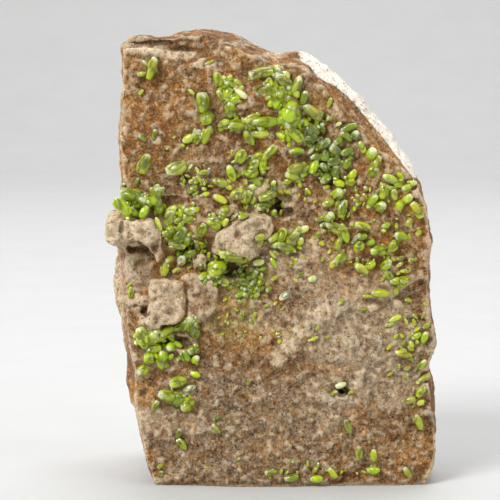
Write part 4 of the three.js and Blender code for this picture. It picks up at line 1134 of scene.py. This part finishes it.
def crystals_of_region(name, rows, tree, seed):
    gathered = Gathered(seed)
    for row in map(whole_row, rows):
        matrix = seated(gathered, tree, row)
        add_companions(gathered, matrix, row[2], row[3], row[6])
    return gathered.build(name + "_crystals", crystal)


def scattered_crystals(name, zones, tree, seed):
    gathered = Gathered(seed)
    chance = gathered.chance
    for x, height, half_x, half_z, count, least, most, shades in zones:
        for _ in range(count):
            length = chance.uniform(least, most)
            row = (
                x + half_x * chance.gauss(0, 0.55), height + half_z * chance.gauss(0, 0.55),
                length, length * chance.uniform(0.5, 0.8), chance.uniform(0, 180),
                chance.choice((5, 15, 30, 50)), chance.choice(shades), -SCATTER_SUNK,
            )
            if on_rock(tree, *row[:3]):
                seated(gathered, tree, row)
    return gathered.build(name + "_crystals", crystal)


# Stage


def build_floor():
    """A floor that curves up behind the object, in metres."""
    size, depth, rise, curve, steps = 1.6, 0.5, 0.9, 0.3, 12
    profile = [(-size, 0.0), (depth, 0.0)]
    for step in range(1, steps + 1):
        angle = math.pi / 2 * step / steps
        profile.append((depth + curve * math.sin(angle), curve * (1 - math.cos(angle))))
    profile.append((depth + curve, rise))
    places = [(side, y, z) for y, z in profile for side in (-size, size)]
    faces = [(2 * i, 2 * i + 1, 2 * i + 3, 2 * i + 2) for i in range(len(profile) - 1)]
    mesh = bpy.data.meshes.new("floor")
    mesh.from_pydata(places, [], faces)
    for polygon in mesh.polygons:
        polygon.use_smooth = True
    material, tree = new_material("floor")
    place = node(tree, "ShaderNodeTexCoord").outputs["Object"]
    cloud = noise_value(tree, place, 60.0, 4.0, 0.6)
    colour = mix(tree, cloud, srgb(195, 196, 196), srgb(204, 205, 205))
    shader = node(tree, "ShaderNodeBsdfPrincipled", {"Base Color": colour, "Roughness": 0.6})
    output(tree, shader.outputs[0])
    mesh.materials.append(material)
    floor = bpy.data.objects.new("floor", mesh)
    bpy.context.scene.collection.objects.link(floor)


def build_camera():
    data = bpy.data.cameras.new("camera")
    data.lens = CAMERA_LENS
    data.clip_start = 0.01
    camera = bpy.data.objects.new("camera", data)
    back = Vector((0, -math.cos(CAMERA_ELEVATION), math.sin(CAMERA_ELEVATION)))
    camera.location = (CAMERA_TARGET + back * CAMERA_DISTANCE) * MM
    camera.rotation_euler = (-back).to_track_quat("-Z", "Y").to_euler()
    bpy.context.scene.collection.objects.link(camera)
    bpy.context.scene.camera = camera


def build_light():
    world = bpy.data.worlds.new("studio")
    world.use_nodes = True
    background = world.node_tree.nodes["Background"]
    background.inputs[0].default_value = SKY_COLOUR
    background.inputs[1].default_value = SKY_STRENGTH
    bpy.context.scene.world = world
    for name, place, size, power, colour in LIGHTS:
        data = bpy.data.lights.new(name, "AREA")
        data.shape = "DISK"
        data.size = size
        data.energy = power
        data.color = colour
        light = bpy.data.objects.new(name, data)
        light.location = place
        light.rotation_euler = (LIGHTS_AIM - light.location).to_track_quat("-Z", "Y").to_euler()
        bpy.context.scene.collection.objects.link(light)
    bpy.context.scene.view_settings.view_transform = "Standard"


build_camera()
build_light()
build_floor()
stone = sandstone_material()
crystal = crystal_material()

slab, slab_tree = build_rock()
slab.data.materials.clear()
slab.data.materials.append(stone)
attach(slab, "root")
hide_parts("matrix")

for seed, (region, rows) in enumerate(CRYSTALS.items()):
    piece = crystals_of_region(region, rows, slab_tree, seed + 1)
    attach(piece, "root")
    nodes = [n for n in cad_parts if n.rsplit("_", 1)[0] == "crystals_" + region]
    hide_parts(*nodes)

for seed, (region, zones) in enumerate(SCATTER.items()):
    piece = scattered_crystals(region, zones, slab_tree, seed + 101)
    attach(piece, "root")
